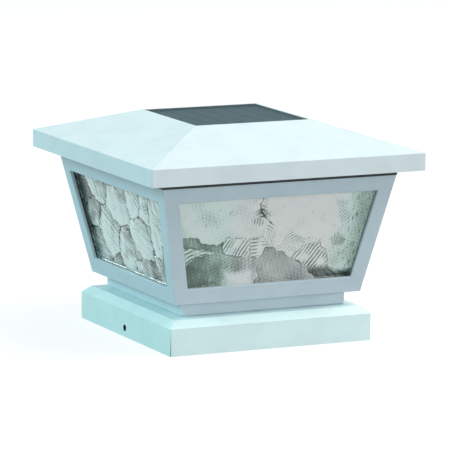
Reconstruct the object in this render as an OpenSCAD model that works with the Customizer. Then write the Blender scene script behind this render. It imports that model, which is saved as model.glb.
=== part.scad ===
// Deck post cap light: a solar lantern on a square collar that slips over a post.
// The origin is the centre of the collar's bottom rim, +Z is up, and the front window looks to -Y.
// Every size is in millimetres.

/* [Collar] */
// Width of the square post that the collar slips over
post_w = 139.7; // [110:0.1:170]
// Gap between the post and each wall of the collar
post_gap = 2.25; // [2.1:0.05:4]
// Thickness of the cast walls
wall = 2.5; // [2:0.1:3.2]
// Height of the collar's upright wall
skirt_h = 18.5; // [14:0.5:40]
// Height of the chamfer above the upright wall
chamfer_h = 4.7; // [4:0.1:9]
// Distance that the chamfer runs in
chamfer_in = 5.8; // [4:0.1:9]
// Rise of the deck from the chamfer to the neck
deck_rise = 0.4; // [0.2:0.1:1.5]
// Radius of the collar's upright corners
collar_r = 1.2; // [1:0.1:2.4]
// Diameter of the screw hole in each side wall
side_hole_d = 4.4; // [3:0.1:6]
// Height of the side holes above the rim
side_hole_z = 6.2; // [4:0.1:10]
// Depth of the ribs under the deck that the post's end meets
seat_rib_h = 3; // [2.8:0.1:4]
// Distance that the guide ribs stand in from the side walls
guide_rib = 2; // [0.6:0.1:2.05]
// Thickness of the cast ribs
rib_t = 2.5; // [1.5:0.1:3.5]

/* [Lantern] */
// Width of the deck that shows between the chamfer and the neck
ledge_w = 7.9; // [4:0.1:12]
// Height of the neck
neck_h = 9.6; // [8:0.1:16]
// Distance that the lantern stands out over the neck
foot_step = 8; // [6:0.1:11]
// Height of the lantern from its foot to the edge of the roof
lantern_h = 85.1; // [65:0.1:120]
// Angle of the lantern's sides from upright
taper = 12; // [8:0.1:15]
// Width of the upright stiles beside the windows
stile = 10.5; // [9.5:0.1:15]
// Height of the rail below the windows
bottom_rail = 10.6; // [10.5:0.1:16]
// Height of the rail above the windows, down from the edge of the roof
top_rail = 14.3; // [12.5:0.1:20]
// Thickness of a glass pane
glass_t = 3; // [2:0.1:3.2]
// Thickness of the gasket between a pane and its window frame
seal_t = 1; // [0.6:0.1:1.1]
// Distance that a pane runs past its window's edge
glass_lap = 3; // [2:0.1:3]
// Thickness of the sheet that the pane clips are bent from
clip_t = 0.8; // [0.5:0.1:1]
// Height of the lantern's top flange above the edge of the roof
flange_up = 3; // [2.8:0.1:4]
// Distance that the strip round the lantern's top comes down from the edge of the roof
strip_drop = 4.2; // [3:0.1:6]

/* [Roof] */
// Distance that the roof stands out past the top of the lantern
eave = 13.6; // [12.5:0.1:20]
// Height of the upright fascia
fascia_h = 11.8; // [11:0.1:18]
// Pitch of the roof
pitch = 17.7; // [15:0.1:24]
// Radius of the fascia's upright corners
fascia_r = 1.2; // [0.5:0.1:2]
// Thickness of the weather strip under the roof
gasket_t = 1.2; // [0.8:0.1:2]

/* [Solar panel] */
// Width of the panel's seat in the roof
panel_w = 84.6; // [70:0.1:90]
// Width of the thin rim round the panel
panel_rim = 1; // [0.6:0.1:2]
// Thickness of the panel's backing board
backing_t = 1.6; // [1:0.1:2]
// Thickness of the cells
cell_t = 0.3; // [0.2:0.05:0.5]
// Thickness of the panel's cover
cover_t = 1.3; // [1:0.1:2]
// Depth of the panel's face below the rim
panel_sink = 0.2; // [0.1:0.1:0.5]
// Width of the sealant round the panel
sealant_w = 0.8; // [0.5:0.1:1.5]
// Rows of cells
cell_rows = 2; // [1:1:4]
// Cells in each row
cell_cols = 6; // [2:1:8]

/* [Light module] */
// Length of the module's case, along X
case_w = 76; // [74:0.5:84]
// Depth of the module's case, along Y
case_d = 60; // [60:0.5:70]
// Height of the module's case
case_h = 25; // [25:0.5:30]
// Thickness of the moulded walls
case_t = 2; // [1.5:0.1:2]
// Diameter of the rechargeable cell
cell_d = 14.2; // [11.8:0.1:14.4]
// Length of the rechargeable cell, with its nub
cell_l = 50.5; // [44:0.1:50.5]
// Diameter of the lens opening
lens_d = 24; // [18:0.5:25]
// Height of the lens's dome
lens_h = 5; // [3:0.1:7]
// Travel of the switch's knob
switch_travel = 3; // [2:0.1:3.5]

/* [Hidden] */
$fn = 48;
SIDES = ["front", "right", "back", "left"];

// Colours
coat = "#dfeef0";
glass = "#b7c9c0";
black_rubber = "#2a2d30";
steel = "#b9bdc0";
white_plastic = "#e9ebe8";
board_green = "#2c6b45";

// Clearances
cut = 1;             // overrun of a cut past the face that it opens
sink_in = 0.5;       // depth that a rib or boss runs into the wall that carries it
screw_fit = 0.05;    // all round a screw's shank
part_fit = 0.3;      // all round a part in its opening
flange_gap = 1;      // lantern flange to fascia
face_fit = 0.01;     // between flat faces of two pieces that bear on each other
rim_fit = 0.2;       // module case's rim to the roof
pilot_over = 0.4;    // pilot hole past the end of its screw

// Pan head screws: [shank radius, head radius, head height]
small_screw = [1.3, 2.4, 1.7];
roof_screw = [1.6, 2.9, 1.9];
base_screw = [1.6, 3.2, 2.2];

// Collar, from the post out and from the rim up
collar_in = post_w / 2 + post_gap;
collar_half = collar_in + wall;
z_chamfer = skirt_h + chamfer_h;
z_deck = z_chamfer + deck_rise;
z_under_deck = z_deck - wall;
z_seat = z_under_deck - seat_rib_h;
chamfer_top_half = collar_half - chamfer_in;
chamfer_a = atan(chamfer_h / chamfer_in);
guide_rib_at = collar_in - 26;
guide_lead_in = 3;
seat_ring_half = 34;

// Lantern
neck_half = chamfer_top_half - ledge_w;
z_foot = z_deck + neck_h;
foot_half = neck_half + foot_step;
z_eave = z_foot + lantern_h;
z_flange = z_eave + flange_up;
z_flange_top = z_flange + wall;
wall_across = wall / cos(taper);
foot_ring = 9;       // width of the flange inside the neck's foot
neck_rebate = 0.6;   // fine step that marks the neck's joint with the deck
base_boss_r = 4.2;
base_screw_at = neck_half - wall - base_boss_r - 1.2;
base_screw_l = wall + neck_h - 1;
gasket_back = 0.6;   // gasket's inner edge, back from the window's edge
win_lo = bottom_rail / cos(taper);
win_hi = (lantern_h - top_rail) / cos(taper);
pane_back_z = -(wall + seal_t + glass_t);
clip_grip = 1.2;     // reach of a clip over the edge of its pane
clip_w = 10;
clip_lip = 0.6;
clip_boss_r = 2.6;
clip_reach = clip_boss_r + 0.6;  // from a clip's screw to the edge of its pane
clip_spread = 0.55;  // place of the clips, as a share of the half width
clip_low_v = win_lo - glass_lap - clip_reach;
clip_high_v = win_hi + glass_lap + clip_reach;
clip_screw_l = clip_t + seal_t + glass_t;
strip_t = 1;         // strip's depth, let into the wall and flush with it
strip_up = 1;        // strip's rise past the edge of the roof

// Roof
roof_half = lantern_half(z_eave) + eave;
roof_in = roof_half - wall;
z_fascia = z_eave + fascia_h;
plateau_half = panel_w / 2 + panel_rim;
z_top = z_fascia + (roof_half - plateau_half) * tan(pitch);
panel_depth = panel_sink + cover_t + cell_t + backing_t;
z_panel_floor = z_top - panel_depth;
z_ceiling = z_panel_floor - wall;
z_slope_in = z_fascia + wall * (tan(pitch) - 1 / cos(pitch));
ceiling_half = roof_in - (z_ceiling - z_slope_in) / tan(pitch);
flange_half = roof_in - flange_gap;
roof_screw_at = (lantern_half(z_flange) + flange_half) / 2;
roof_screw_l = wall + 4.6;
roof_boss_r = 3.5;
hip_rib_h = 4;
ceiling_lap = 4;     // hip rib's run in under the ceiling
gasket_mid = lantern_half(z_flange_top) - wall_across / 2 + 0.4;
gasket_w = 3.5;

// Solar panel
panel_half = panel_w / 2;
panel_in = panel_half - sealant_w;
z_cells = z_panel_floor + backing_t;
z_cover = z_cells + cell_t;
cell_margin = 2.5;
cell_gap = 0.8;
lead_at = [0, -20];
lead_r = 0.8;
lead_step = 1.6;
lead_hole_r = 4;

// Light module, hung under the middle of the roof
z_case = z_ceiling - case_h;
z_case_floor = z_case + case_t;
ear_at = [case_w / 2 + 6, 20];
ear_r = 4.5;
ear_t = 3;
ear_drop = 5;        // length of the roof's bosses that the ears meet
ear_boss_r = 3.6;
z_ear = z_ceiling - ear_drop - ear_t - face_fit;
bay_wall = 1.6;
bay_half = cell_l / 2 + 3.75;
bay_d = cell_d + 4.3;
bay_y = case_d / 2 - case_t - bay_wall - bay_d / 2 - 0.4;
nub_r = 2.6;
nub_l = 1;
cell_lift = 0.5;     // cell above the door's inner face
z_cell = z_case_floor + cell_lift + cell_d / 2;
z_bay_top = z_cell + cell_d / 2 + 0.4;
contact_t = 0.5;
contact_w = 9;
contact_h = 11;
tab_w = 4;
solder_h = 0.6;      // what stands up through the board
board_t = 1.6;
board_half = [33, 26];
z_board = z_bay_top + bay_wall + 0.8;
board_post_at = [29.5, -22.5];
board_post_r = 3;
board_screw_l = 7;
peg_at = [24, 20];
peg_r = 1.2;
peg_foot_r = 2.4;
lens_at = [0, -13];
lens_r = lens_d / 2 - 0.2;
lens_t = 1.5;
lens_flange = 1.7;
lens_ball = (pow(lens_r, 2) + pow(lens_h, 2)) / (2 * lens_h);
z_lens_ball = z_case - lens_h + lens_ball;
led_ring_r = 4.6;
led_r = 2.5;
led_h = 6.1;
led_flange_h = 1;
led_flange = 0.4;
switch_at = [-24, -14];
switch_size = [10, 5, 4.5];
switch_pin_step = 2.5;
slider_size = [3.4, 3, 1.2];
stem_size = [2, 1.6];
finger_size = [3.6, 3.4, 1.8];
door_lap = 1.6;      // door's flange past its opening
door_flange_t = 1.2;
saddle_at = 12;
saddle_t = 2;
saddle_h = 3;
notch_r = 4;

// Half width of the lantern's outer face at a height
function lantern_half(z) = foot_half + (z - z_foot) * tan(taper);

// Half width of a window at a distance up the slanted side
function window_half(v) = foot_half + v * sin(taper) - stile;

// ---------- shared shapes ----------

// Prism with two slanted sides, centred on Z
module taper_prism(lo, hi, h) {
    rotate([90, 0, 0])
        linear_extrude(2 * max(lo, hi) + 2, center = true)
            polygon([[-lo, 0], [lo, 0], [hi, h], [-hi, h]]);
}

// Square frustum from half width lo up to half width hi
module frustum(lo, hi, h) {
    intersection() {
        taper_prism(lo, hi, h);
        rotate([0, 0, 90]) taper_prism(lo, hi, h);
    }
}

// Square block on z = 0
module block(half, h) {
    translate([-half, -half, 0]) cube([2 * half, 2 * half, h]);
}

// Square block with round upright corners
module round_block(half, r, h) {
    translate([-half, r - half, 0]) cube([2 * half, 2 * (half - r), h]);
    translate([r - half, -half, 0]) cube([2 * (half - r), 2 * half, h]);
    at_corners(half - r) cylinder(r = r, h = h);
}

// Square ring between two half widths
module ring_block(inner, outer, h) {
    difference() {
        block(outer, h);
        translate([0, 0, -cut]) block(inner, h + 2 * cut);
    }
}

// One copy at each corner of a square
module at_corners(half) {
    for (x = [-half, half], y = [-half, half]) translate([x, y, 0]) children();
}

// One copy at each corner of a rectangle
module at_four(half) {
    for (x = [-half[0], half[0]], y = [-half[1], half[1]]) translate([x, y, 0]) children();
}

// Plane of one slanted side: x across, y up the slope from the foot, z out of the face
module on_wall(side) {
    rotate([0, 0, 90 * side])
        translate([0, -foot_half, z_foot])
            rotate([90 + taper, 0, 0])
                children();
}

// Window outline in that plane, grown by a margin
module window_shape(margin) {
    lo = win_lo - margin;
    hi = win_hi + margin;
    lo_half = window_half(lo) + margin;
    hi_half = window_half(hi) + margin;
    polygon([[-lo_half, lo], [lo_half, lo], [hi_half, hi], [-hi_half, hi]]);
}

// Pan head screw with its head below z = 0 and its shank above, with a cross recess
module screw(size, shank_l) {
    head_r = size[1];
    head_h = size[2];
    rim_h = 0.55 * head_h;
    difference() {
        union() {
            cylinder(r = size[0], h = shank_l);
            translate([0, 0, -rim_h]) cylinder(r = head_r, h = rim_h);
            translate([0, 0, -head_h]) cylinder(r1 = 0.7 * head_r, r2 = head_r, h = head_h - rim_h);
        }
        for (a = [0, 90])
            rotate([0, 0, a])
                translate([0, 0, -head_h])
                    cube([1.1 * head_r, 0.28 * head_r, head_h], center = true);
    }
}

// Hole for a screw: open below z = 0, past the shank's end if it is a pilot hole
module screw_hole(size, depth, gap) {
    translate([0, 0, -cut]) cylinder(r = size[0] + gap, h = depth + cut);
}

// Places of the clips on one side: [across, up, direction towards the glass]
function clip_places() = [
    for (end = [[clip_low_v, 1], [clip_high_v, -1]], x = [-clip_spread, clip_spread])
        [x * window_half(end[0]), end[0], end[1]]
];

module at_clips(side) {
    on_wall(side)
        for (p = clip_places())
            translate([p[0], p[1], pane_back_z])
                rotate([0, 0, p[2] > 0 ? 0 : 180])
                    children();
}

// ---------- collar ----------

module post_base() {
    color(coat) {
        difference() {
            collar_body();
            collar_hollow();
            for (side = [-1, 1])
                translate([side * collar_half, 0, side_hole_z])
                    rotate([0, 90, 0])
                        cylinder(d = side_hole_d, h = 4 * wall, center = true);
            at_corners(base_screw_at)
                translate([0, 0, z_under_deck])
                    screw_hole(base_screw, wall + cut, part_fit);
        }
        guide_ribs();
        seat_ribs();
    }
}

// The skirt's upright corners are round, and the chamfer above it is mitred sharp
module collar_body() {
    ramp_half = neck_half + (chamfer_top_half - neck_half) * z_deck / deck_rise;
    round_block(collar_half, collar_r, skirt_h);
    intersection() {
        frustum(ramp_half, neck_half, z_deck);
        union() {
            translate([0, 0, skirt_h]) frustum(collar_half, chamfer_top_half, chamfer_h);
            block(chamfer_top_half, z_deck);
        }
    }
}

// Open underside, with the chamfer followed inside at the same wall
module collar_hollow() {
    z_turn = skirt_h + wall * (tan(chamfer_a) - 1 / cos(chamfer_a));
    top_half = collar_in - (z_under_deck - z_turn) / tan(chamfer_a);
    hollow_h = z_under_deck + cut;
    translate([0, 0, -cut])
        intersection() {
            block(collar_in, hollow_h);
            frustum(top_half + hollow_h / tan(chamfer_a), top_half, hollow_h);
        }
}

// Two upright ribs on each wall, with a lead-in, that centre the post
module guide_ribs() {
    for (side = [0:3], x = [-guide_rib_at, guide_rib_at])
        rotate([0, 0, 90 * side])
            translate([x + rib_t / 2, -collar_in, 0])
                rotate([90, 0, -90])
                    linear_extrude(rib_t)
                        polygon([
                            [sink_in, rib_t], [0, rib_t], [-guide_rib, rib_t + guide_lead_in],
                            [-guide_rib, z_seat], [sink_in, z_seat]
                        ]);
}

// Cross and ring of ribs under the deck: the post's end rests on their lower edges
module seat_ribs() {
    reach = base_screw_at;
    translate([0, 0, z_seat]) {
        for (a = [0, 90])
            rotate([0, 0, a])
                translate([-reach, -rib_t / 2, 0])
                    cube([2 * reach, rib_t, seat_rib_h + sink_in]);
        ring_block(seat_ring_half - rib_t, seat_ring_half, seat_rib_h + sink_in);
    }
}

// ---------- lantern ----------

module lantern_frame() {
    color(coat)
        difference() {
            union() {
                difference() {
                    lantern_outside();
                    lantern_inside();
                    strip_groove();
                    for (side = [0:3])
                        on_wall(side)
                            translate([0, 0, -2 * wall])
                                linear_extrude(4 * wall)
                                    window_shape(0);
                }
                lantern_bosses();
            }
            lantern_drillings();
        }
}

// Neck with a fine rebate at its joint, upside-down frustum, and top flange
module lantern_outside() {
    translate([0, 0, z_deck]) block(neck_half - neck_rebate, neck_h);
    translate([0, 0, z_deck + neck_rebate]) block(neck_half, neck_h - neck_rebate + sink_in);
    translate([0, 0, z_foot])
        frustum(foot_half, lantern_half(z_flange_top), z_flange_top - z_foot);
    translate([0, 0, z_flange]) block(flange_half, wall);
}

module lantern_inside() {
    z_in = z_foot + wall;
    translate([0, 0, z_deck - cut])
        block(neck_half - wall - foot_ring, neck_h + wall + 2 * cut);
    translate([0, 0, z_deck + wall]) block(neck_half - wall, neck_h + cut);
    translate([0, 0, z_in])
        frustum(
            lantern_half(z_in) - wall_across,
            lantern_half(z_flange_top + cut) - wall_across,
            z_flange_top + cut - z_in
        );
}

// Groove round the top of the lantern's walls
module strip_groove() {
    z_from = z_eave - strip_drop;
    h = strip_drop + strip_up;
    core = strip_t / cos(taper);
    difference() {
        translate([0, 0, z_from]) block(lantern_half(z_eave + strip_up) + cut, h);
        translate([0, 0, z_from - cut])
            frustum(
                lantern_half(z_from - cut) - core,
                lantern_half(z_eave + strip_up + cut) - core,
                h + 2 * cut
            );
    }
}

// Screw bosses in the neck's corners and behind the rails
module lantern_bosses() {
    at_corners(base_screw_at)
        translate([0, 0, z_deck]) cylinder(r = base_boss_r, h = neck_h + wall);
    for (side = [0:3])
        at_clips(side)
            cylinder(r = clip_boss_r, h = seal_t + glass_t + sink_in);
}

module lantern_drillings() {
    at_corners(base_screw_at)
        translate([0, 0, z_deck])
            screw_hole(base_screw, base_screw_l - wall + pilot_over, screw_fit);
    at_corners(roof_screw_at)
        translate([0, 0, z_flange])
            screw_hole(roof_screw, wall + cut, part_fit);
    for (side = [0:3])
        at_clips(side)
            screw_hole(small_screw, clip_screw_l - clip_t + pilot_over, screw_fit);
}

module pane(side) {
    color(glass, 0.6)
        on_wall(side)
            translate([0, 0, pane_back_z])
                linear_extrude(glass_t)
                    window_shape(glass_lap);
}

// Flat gasket that follows the window, between its frame and the pane
module pane_gasket(side) {
    color(black_rubber)
        on_wall(side)
            translate([0, 0, -wall - seal_t])
                linear_extrude(seal_t - face_fit)
                    difference() {
                        window_shape(glass_lap);
                        window_shape(gasket_back);
                    }
}

// Rubber strip pressed into the groove, flush with the lantern's walls
module eave_strip() {
    z_from = z_eave - strip_drop + face_fit;
    z_to = z_eave + strip_up - face_fit;
    core = strip_t / cos(taper) - face_fit;
    color(black_rubber)
        difference() {
            translate([0, 0, z_from])
                frustum(lantern_half(z_from), lantern_half(z_to), z_to - z_from);
            translate([0, 0, z_from - cut])
                frustum(
                    lantern_half(z_from - cut) - core,
                    lantern_half(z_to + cut) - core,
                    z_to - z_from + 2 * cut
                );
        }
}

// Sheet clip: a foot under the screw, a tongue over the glass and a lip bent away from it
module pane_clips() {
    tongue = clip_reach + clip_grip;
    color(steel)
        for (side = [0:3])
            at_clips(side)
                difference() {
                    union() {
                        translate([-clip_w / 2, -clip_boss_r, -clip_t])
                            cube([clip_w, clip_boss_r + tongue, clip_t]);
                        translate([-clip_w / 2, tongue - clip_t, -clip_t - clip_lip])
                            cube([clip_w, clip_t, clip_lip + clip_t]);
                    }
                    translate([0, 0, -clip_t])
                        screw_hole(small_screw, clip_t + cut, part_fit);
                }
}

module clip_screws() {
    color(steel)
        for (side = [0:3])
            at_clips(side)
                translate([0, 0, -clip_t])
                    screw(small_screw, clip_screw_l);
}

module base_screws() {
    color(steel)
        at_corners(base_screw_at)
            translate([0, 0, z_under_deck])
                screw(base_screw, base_screw_l);
}

module roof_screws() {
    color(steel)
        at_corners(roof_screw_at)
            translate([0, 0, z_flange])
                screw(roof_screw, roof_screw_l);
}

// ---------- roof ----------

module roof_cap() {
    color(coat)
        difference() {
            union() {
                difference() {
                    roof_outside();
                    roof_hollow();
                }
                intersection() {
                    roof_outside();
                    roof_fittings();
                }
            }
            roof_drillings();
        }
}

// Upright fascia and four slopes, with the upright corners rounded
module roof_outside() {
    roof_h = z_top - z_eave;
    translate([0, 0, z_eave])
        intersection() {
            round_block(roof_half, fascia_r, roof_h);
            frustum(plateau_half + roof_h / tan(pitch), plateau_half, roof_h);
        }
}

module roof_hollow() {
    hollow_h = z_ceiling - z_eave + cut;
    translate([0, 0, z_eave - cut])
        intersection() {
            block(roof_in, hollow_h);
            frustum(ceiling_half + hollow_h / tan(pitch), ceiling_half, hollow_h);
        }
}

// Wall that presses the weather strip, corner bosses, module bosses and hip ribs
module roof_fittings() {
    z_strip = z_flange_top + gasket_t;
    translate([0, 0, z_strip])
        ring_block(gasket_mid - wall / 2, gasket_mid + wall / 2, z_top - z_strip);
    at_corners(roof_screw_at)
        translate([0, 0, z_flange_top]) cylinder(r = roof_boss_r, h = z_top - z_flange_top);
    at_four(ear_at)
        translate([0, 0, z_ceiling - ear_drop]) cylinder(r = ear_boss_r, h = ear_drop + sink_in);
    hip_ribs();
}

// Rib under each hip, from the panel's seat to the corner boss
module hip_ribs() {
    from = sqrt(2) * (ceiling_half - ceiling_lap);
    bend = sqrt(2) * ceiling_half;
    to = sqrt(2) * roof_screw_at;
    z_to = z_slope_in + (roof_in - roof_screw_at) * tan(pitch);
    for (side = [0:3])
        rotate([90, 0, 45 + 90 * side])
            translate([0, 0, -rib_t / 2])
                linear_extrude(rib_t)
                    polygon([
                        [from, z_ceiling + sink_in], [from, z_ceiling - hip_rib_h],
                        [to, z_to - hip_rib_h], [to, z_to + sink_in],
                        [bend, z_ceiling + sink_in]
                    ]);
}

module roof_drillings() {
    translate([0, 0, z_panel_floor]) block(panel_half, panel_depth + cut);
    translate([lead_at[0], lead_at[1], z_ceiling - cut])
        cylinder(r = lead_hole_r, h = wall + 2 * cut);
    at_corners(roof_screw_at)
        translate([0, 0, z_flange_top])
            screw_hole(roof_screw, roof_screw_l - wall + pilot_over, screw_fit);
    at_four(ear_at)
        translate([0, 0, z_ceiling - ear_drop])
            screw_hole(small_screw, ear_drop + pilot_over, screw_fit);
}

// Foam strip stuck under the roof, which the lantern's flange presses
module roof_gasket() {
    color(black_rubber)
        translate([0, 0, z_flange_top])
            ring_block(gasket_mid - gasket_w / 2, gasket_mid + gasket_w / 2, gasket_t);
}

// ---------- solar panel ----------

module solar_glass() {
    color("#5c6c74", 0.8)
        translate([0, 0, z_cover]) block(panel_in, cover_t);
}

module solar_cells() {
    pitch_x = (2 * (panel_in - cell_margin) + cell_gap) / cell_cols;
    pitch_y = (2 * (panel_in - cell_margin) + cell_gap) / cell_rows;
    start = cell_margin - panel_in;
    color("#26313b")
        for (i = [0:cell_cols - 1], j = [0:cell_rows - 1])
            translate([start + i * pitch_x, start + j * pitch_y, z_cells])
                cube([pitch_x - cell_gap, pitch_y - cell_gap, cell_t]);
}

module solar_backing() {
    color("#22262a")
        translate([0, 0, z_panel_floor]) block(panel_in, backing_t);
}

module panel_seal() {
    color(black_rubber)
        translate([0, 0, z_panel_floor])
            ring_block(panel_in, panel_half, panel_depth - panel_sink);
}

module panel_leads() {
    color("#8a2f2a")
        for (side = [-1, 1])
            translate([lead_at[0] + side * lead_step, lead_at[1], z_board + board_t])
                cylinder(r = lead_r, h = z_panel_floor - z_board - board_t);
}

// ---------- light module ----------

module module_case() {
    color(white_plastic)
        difference() {
            union() {
                difference() {
                    case_outside();
                    translate([case_t - case_w / 2, case_t - case_d / 2, z_case_floor])
                        cube([case_w - 2 * case_t, case_d - 2 * case_t, case_h]);
                }
                battery_bay();
                board_posts();
            }
            case_openings();
        }
}

module case_outside() {
    translate([-case_w / 2, -case_d / 2, z_case]) cube([case_w, case_d, case_h - rim_fit]);
    for (x = [-1, 1], y = [-1, 1])
        translate([x * ear_at[0], y * ear_at[1], z_ear]) {
            cylinder(r = ear_r, h = ear_t);
            translate([x > 0 ? -ear_at[0] + case_w / 2 - sink_in : 0, -ear_r, 0])
                cube([ear_at[0] - case_w / 2 + sink_in, 2 * ear_r, ear_t]);
        }
}

// Walled box round the cell, open through the case's floor
module battery_bay() {
    x = bay_half + bay_wall;
    y = bay_d / 2 + bay_wall;
    translate([-x, bay_y - y, z_case_floor - sink_in])
        cube([2 * x, 2 * y, z_bay_top + bay_wall - z_case_floor + sink_in]);
}

// Two screw posts at the front, and two stepped pegs over the bay, that carry the board
module board_posts() {
    for (side = [-1, 1]) {
        translate([side * board_post_at[0], board_post_at[1], z_case_floor - sink_in])
            cylinder(r = board_post_r, h = z_board - z_case_floor + sink_in);
        translate([side * peg_at[0], peg_at[1], z_bay_top]) {
            cylinder(r = peg_foot_r, h = z_board - z_bay_top);
            cylinder(r = peg_r, h = z_board + board_t + solder_h - z_bay_top);
        }
    }
}

module case_openings() {
    // Battery bay, out through the floor
    translate([-bay_half, bay_y - bay_d / 2, z_case - cut])
        cube([2 * bay_half, bay_d, z_bay_top - z_case + cut]);
    tab_slots(z_bay_top, 4 * bay_wall);
    translate([lens_at[0], lens_at[1], z_case - cut])
        cylinder(d = lens_d, h = case_t + 2 * cut);
    // Slot that the switch's stem runs in
    translate([switch_at[0] + switch_travel / 2, switch_at[1], z_case])
        cube([
            stem_size[0] + switch_travel + 2 * part_fit,
            stem_size[1] + 2 * part_fit,
            4 * case_t
        ], center = true);
    for (side = [-1, 1])
        translate([side * board_post_at[0], board_post_at[1], z_board + board_t])
            rotate([180, 0, 0])
                screw_hole(small_screw, board_screw_l + pilot_over, screw_fit);
    at_four(ear_at)
        translate([0, 0, z_ear])
            screw_hole(small_screw, ear_t + cut, part_fit);
}

// Slots for the contacts' tabs, centred on a height
module tab_slots(z, h) {
    for (side = [-1, 1])
        translate([side * (bay_half - contact_t / 2), bay_y, z])
            cube([contact_t + part_fit, tab_w + 2 * part_fit, h], center = true);
}

module module_screws() {
    color(steel)
        at_four(ear_at)
            translate([0, 0, z_ear]) screw(small_screw, ear_t + ear_drop);
}

module circuit_board() {
    color(board_green)
        difference() {
            translate([-board_half[0], -board_half[1], z_board])
                cube([2 * board_half[0], 2 * board_half[1], board_t]);
            for (side = [-1, 1]) {
                translate([side * board_post_at[0], board_post_at[1], z_board])
                    screw_hole(small_screw, board_t + cut, part_fit);
                translate([side * peg_at[0], peg_at[1], z_board - cut])
                    cylinder(r = peg_r + screw_fit, h = board_t + 2 * cut);
            }
            tab_slots(z_board, 4 * board_t);
        }
}

// Controller chip above the board, capacitor and coil below it
module board_parts() {
    chip = [5, 4, 1.5];
    can = [3.1, 7];
    coil = [3.6, 4];
    color("#1d1f22") {
        translate([8, -6, z_board + board_t]) cube(chip);
        translate([17, -17, z_board - can[1]]) cylinder(r = can[0], h = can[1]);
        translate([17, -6, z_board - coil[1]]) cylinder(r = coil[0], h = coil[1]);
    }
}

module board_screws() {
    color(steel)
        for (side = [-1, 1])
            translate([side * board_post_at[0], board_post_at[1], z_board + board_t])
                rotate([180, 0, 0])
                    screw(small_screw, board_screw_l);
}

// Three light-emitting diodes that look down into the lens
module leds() {
    color("#f4f0d8")
        for (i = [0:2])
            translate([lens_at[0], lens_at[1], z_board])
                rotate([180, 0, 120 * i + 90])
                    translate([led_ring_r, 0, 0]) {
                        cylinder(r = led_r + led_flange, h = led_flange_h);
                        cylinder(r = led_r, h = led_h);
                        translate([0, 0, led_h]) sphere(r = led_r);
                    }
}

// Shallow dome with a flange that sits on the case's floor
module led_lens() {
    flange_r = lens_d / 2 + lens_flange;
    color("#f2f4ee", 0.7)
        translate([lens_at[0], lens_at[1], 0])
            difference() {
                union() {
                    translate([0, 0, z_case_floor]) cylinder(r = flange_r, h = lens_t);
                    intersection() {
                        translate([0, 0, z_case - lens_h - cut])
                            cylinder(r = lens_r, h = lens_h + cut + case_t + lens_t / 2);
                        translate([0, 0, z_lens_ball]) sphere(r = lens_ball, $fn = 96);
                    }
                }
                intersection() {
                    translate([0, 0, z_case - lens_h])
                        cylinder(r = lens_r - lens_t, h = lens_h + case_t + lens_t + cut);
                    translate([0, 0, z_lens_ball]) sphere(r = lens_ball - lens_t, $fn = 96);
                }
            }
}

// Rechargeable cell, nub towards +X
module battery() {
    color("#3f7a4d")
        translate([bay_half - contact_t - cell_l, bay_y, z_cell])
            rotate([0, 90, 0]) {
                cylinder(d = cell_d, h = cell_l - nub_l);
                cylinder(r = nub_r, h = cell_l);
            }
}

// Flat contact in one end of the bay, with a tab up through the board
module contact(x) {
    translate([x, bay_y - contact_w / 2, z_cell - contact_h / 2])
        cube([contact_t, contact_w, contact_h]);
    translate([x, bay_y - tab_w / 2, z_cell])
        cube([contact_t, tab_w, z_board + board_t + solder_h - z_cell]);
}

module contact_plate() {
    color(steel) contact(bay_half - contact_t);
}

// Tapered coil from the plate to the cell's flat end
spring_wire = 0.7;
spring_foot_r = 4.6;
spring_tip_r = 2.2;
spring_turns = 4;
spring_steps = 16;
spring_sides = 6;
spring_l = 2 * bay_half - 2 * contact_t - cell_l;

function spring_turn(t) = 360 * spring_turns * t;

function spring_point(t) =
    let (r = spring_foot_r + (spring_tip_r - spring_foot_r) * t, a = spring_turn(t))
    [
        contact_t - bay_half + 0.4 * spring_wire + (spring_l - 0.9 * spring_wire) * t,
        bay_y + r * cos(a),
        z_cell + r * sin(a)
    ];

// Ring of points round the wire: its plane holds the spring's axis and the spoke to the wire
function spring_ring(t) =
    let (p = spring_point(t), a = spring_turn(t), q = spring_wire / 2)
    [
        for (k = [0:spring_sides - 1])
            let (b = 360 * k / spring_sides)
            p + q * [sin(b), cos(b) * cos(a), cos(b) * sin(a)]
    ];

module coil() {
    last = spring_turns * spring_steps;
    points = [for (i = [0:last]) each spring_ring(i / last)];
    side_faces = [
        for (i = [0:last - 1], k = [0:spring_sides - 1])
            let (n = (k + 1) % spring_sides, a = i * spring_sides, b = a + spring_sides)
            each [[a + k, b + n, b + k], [a + k, a + n, b + n]]
    ];
    first_cap = [for (k = [spring_sides - 1:-1:0]) k];
    last_cap = [for (k = [0:spring_sides - 1]) last * spring_sides + k];
    polyhedron(points, concat([first_cap], side_faces, [last_cap]));
}

module contact_spring() {
    color(steel) {
        coil();
        contact(-bay_half);
    }
}

// ---------- switch ----------

module switch_body() {
    s = switch_size;
    slider_path = slider_size[0] + switch_travel + 2 * part_fit;
    color("#34383c")
        translate([switch_at[0] + switch_travel / 2, switch_at[1], z_case_floor])
            difference() {
                translate([-s[0] / 2, -s[1] / 2, 0]) cube(s);
                translate([-slider_path / 2, -slider_size[1] / 2 - part_fit, -cut])
                    cube([slider_path, slider_size[1] + 2 * part_fit, slider_size[2] + part_fit + cut]);
            }
}

module switch_leads() {
    color("#2f4f8f")
        for (i = [-1:1])
            translate([
                switch_at[0] + switch_travel / 2 + i * switch_pin_step,
                switch_at[1],
                z_case_floor + switch_size[2]
            ])
                cylinder(r = 0.6, h = z_board - z_case_floor - switch_size[2]);
}

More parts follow.
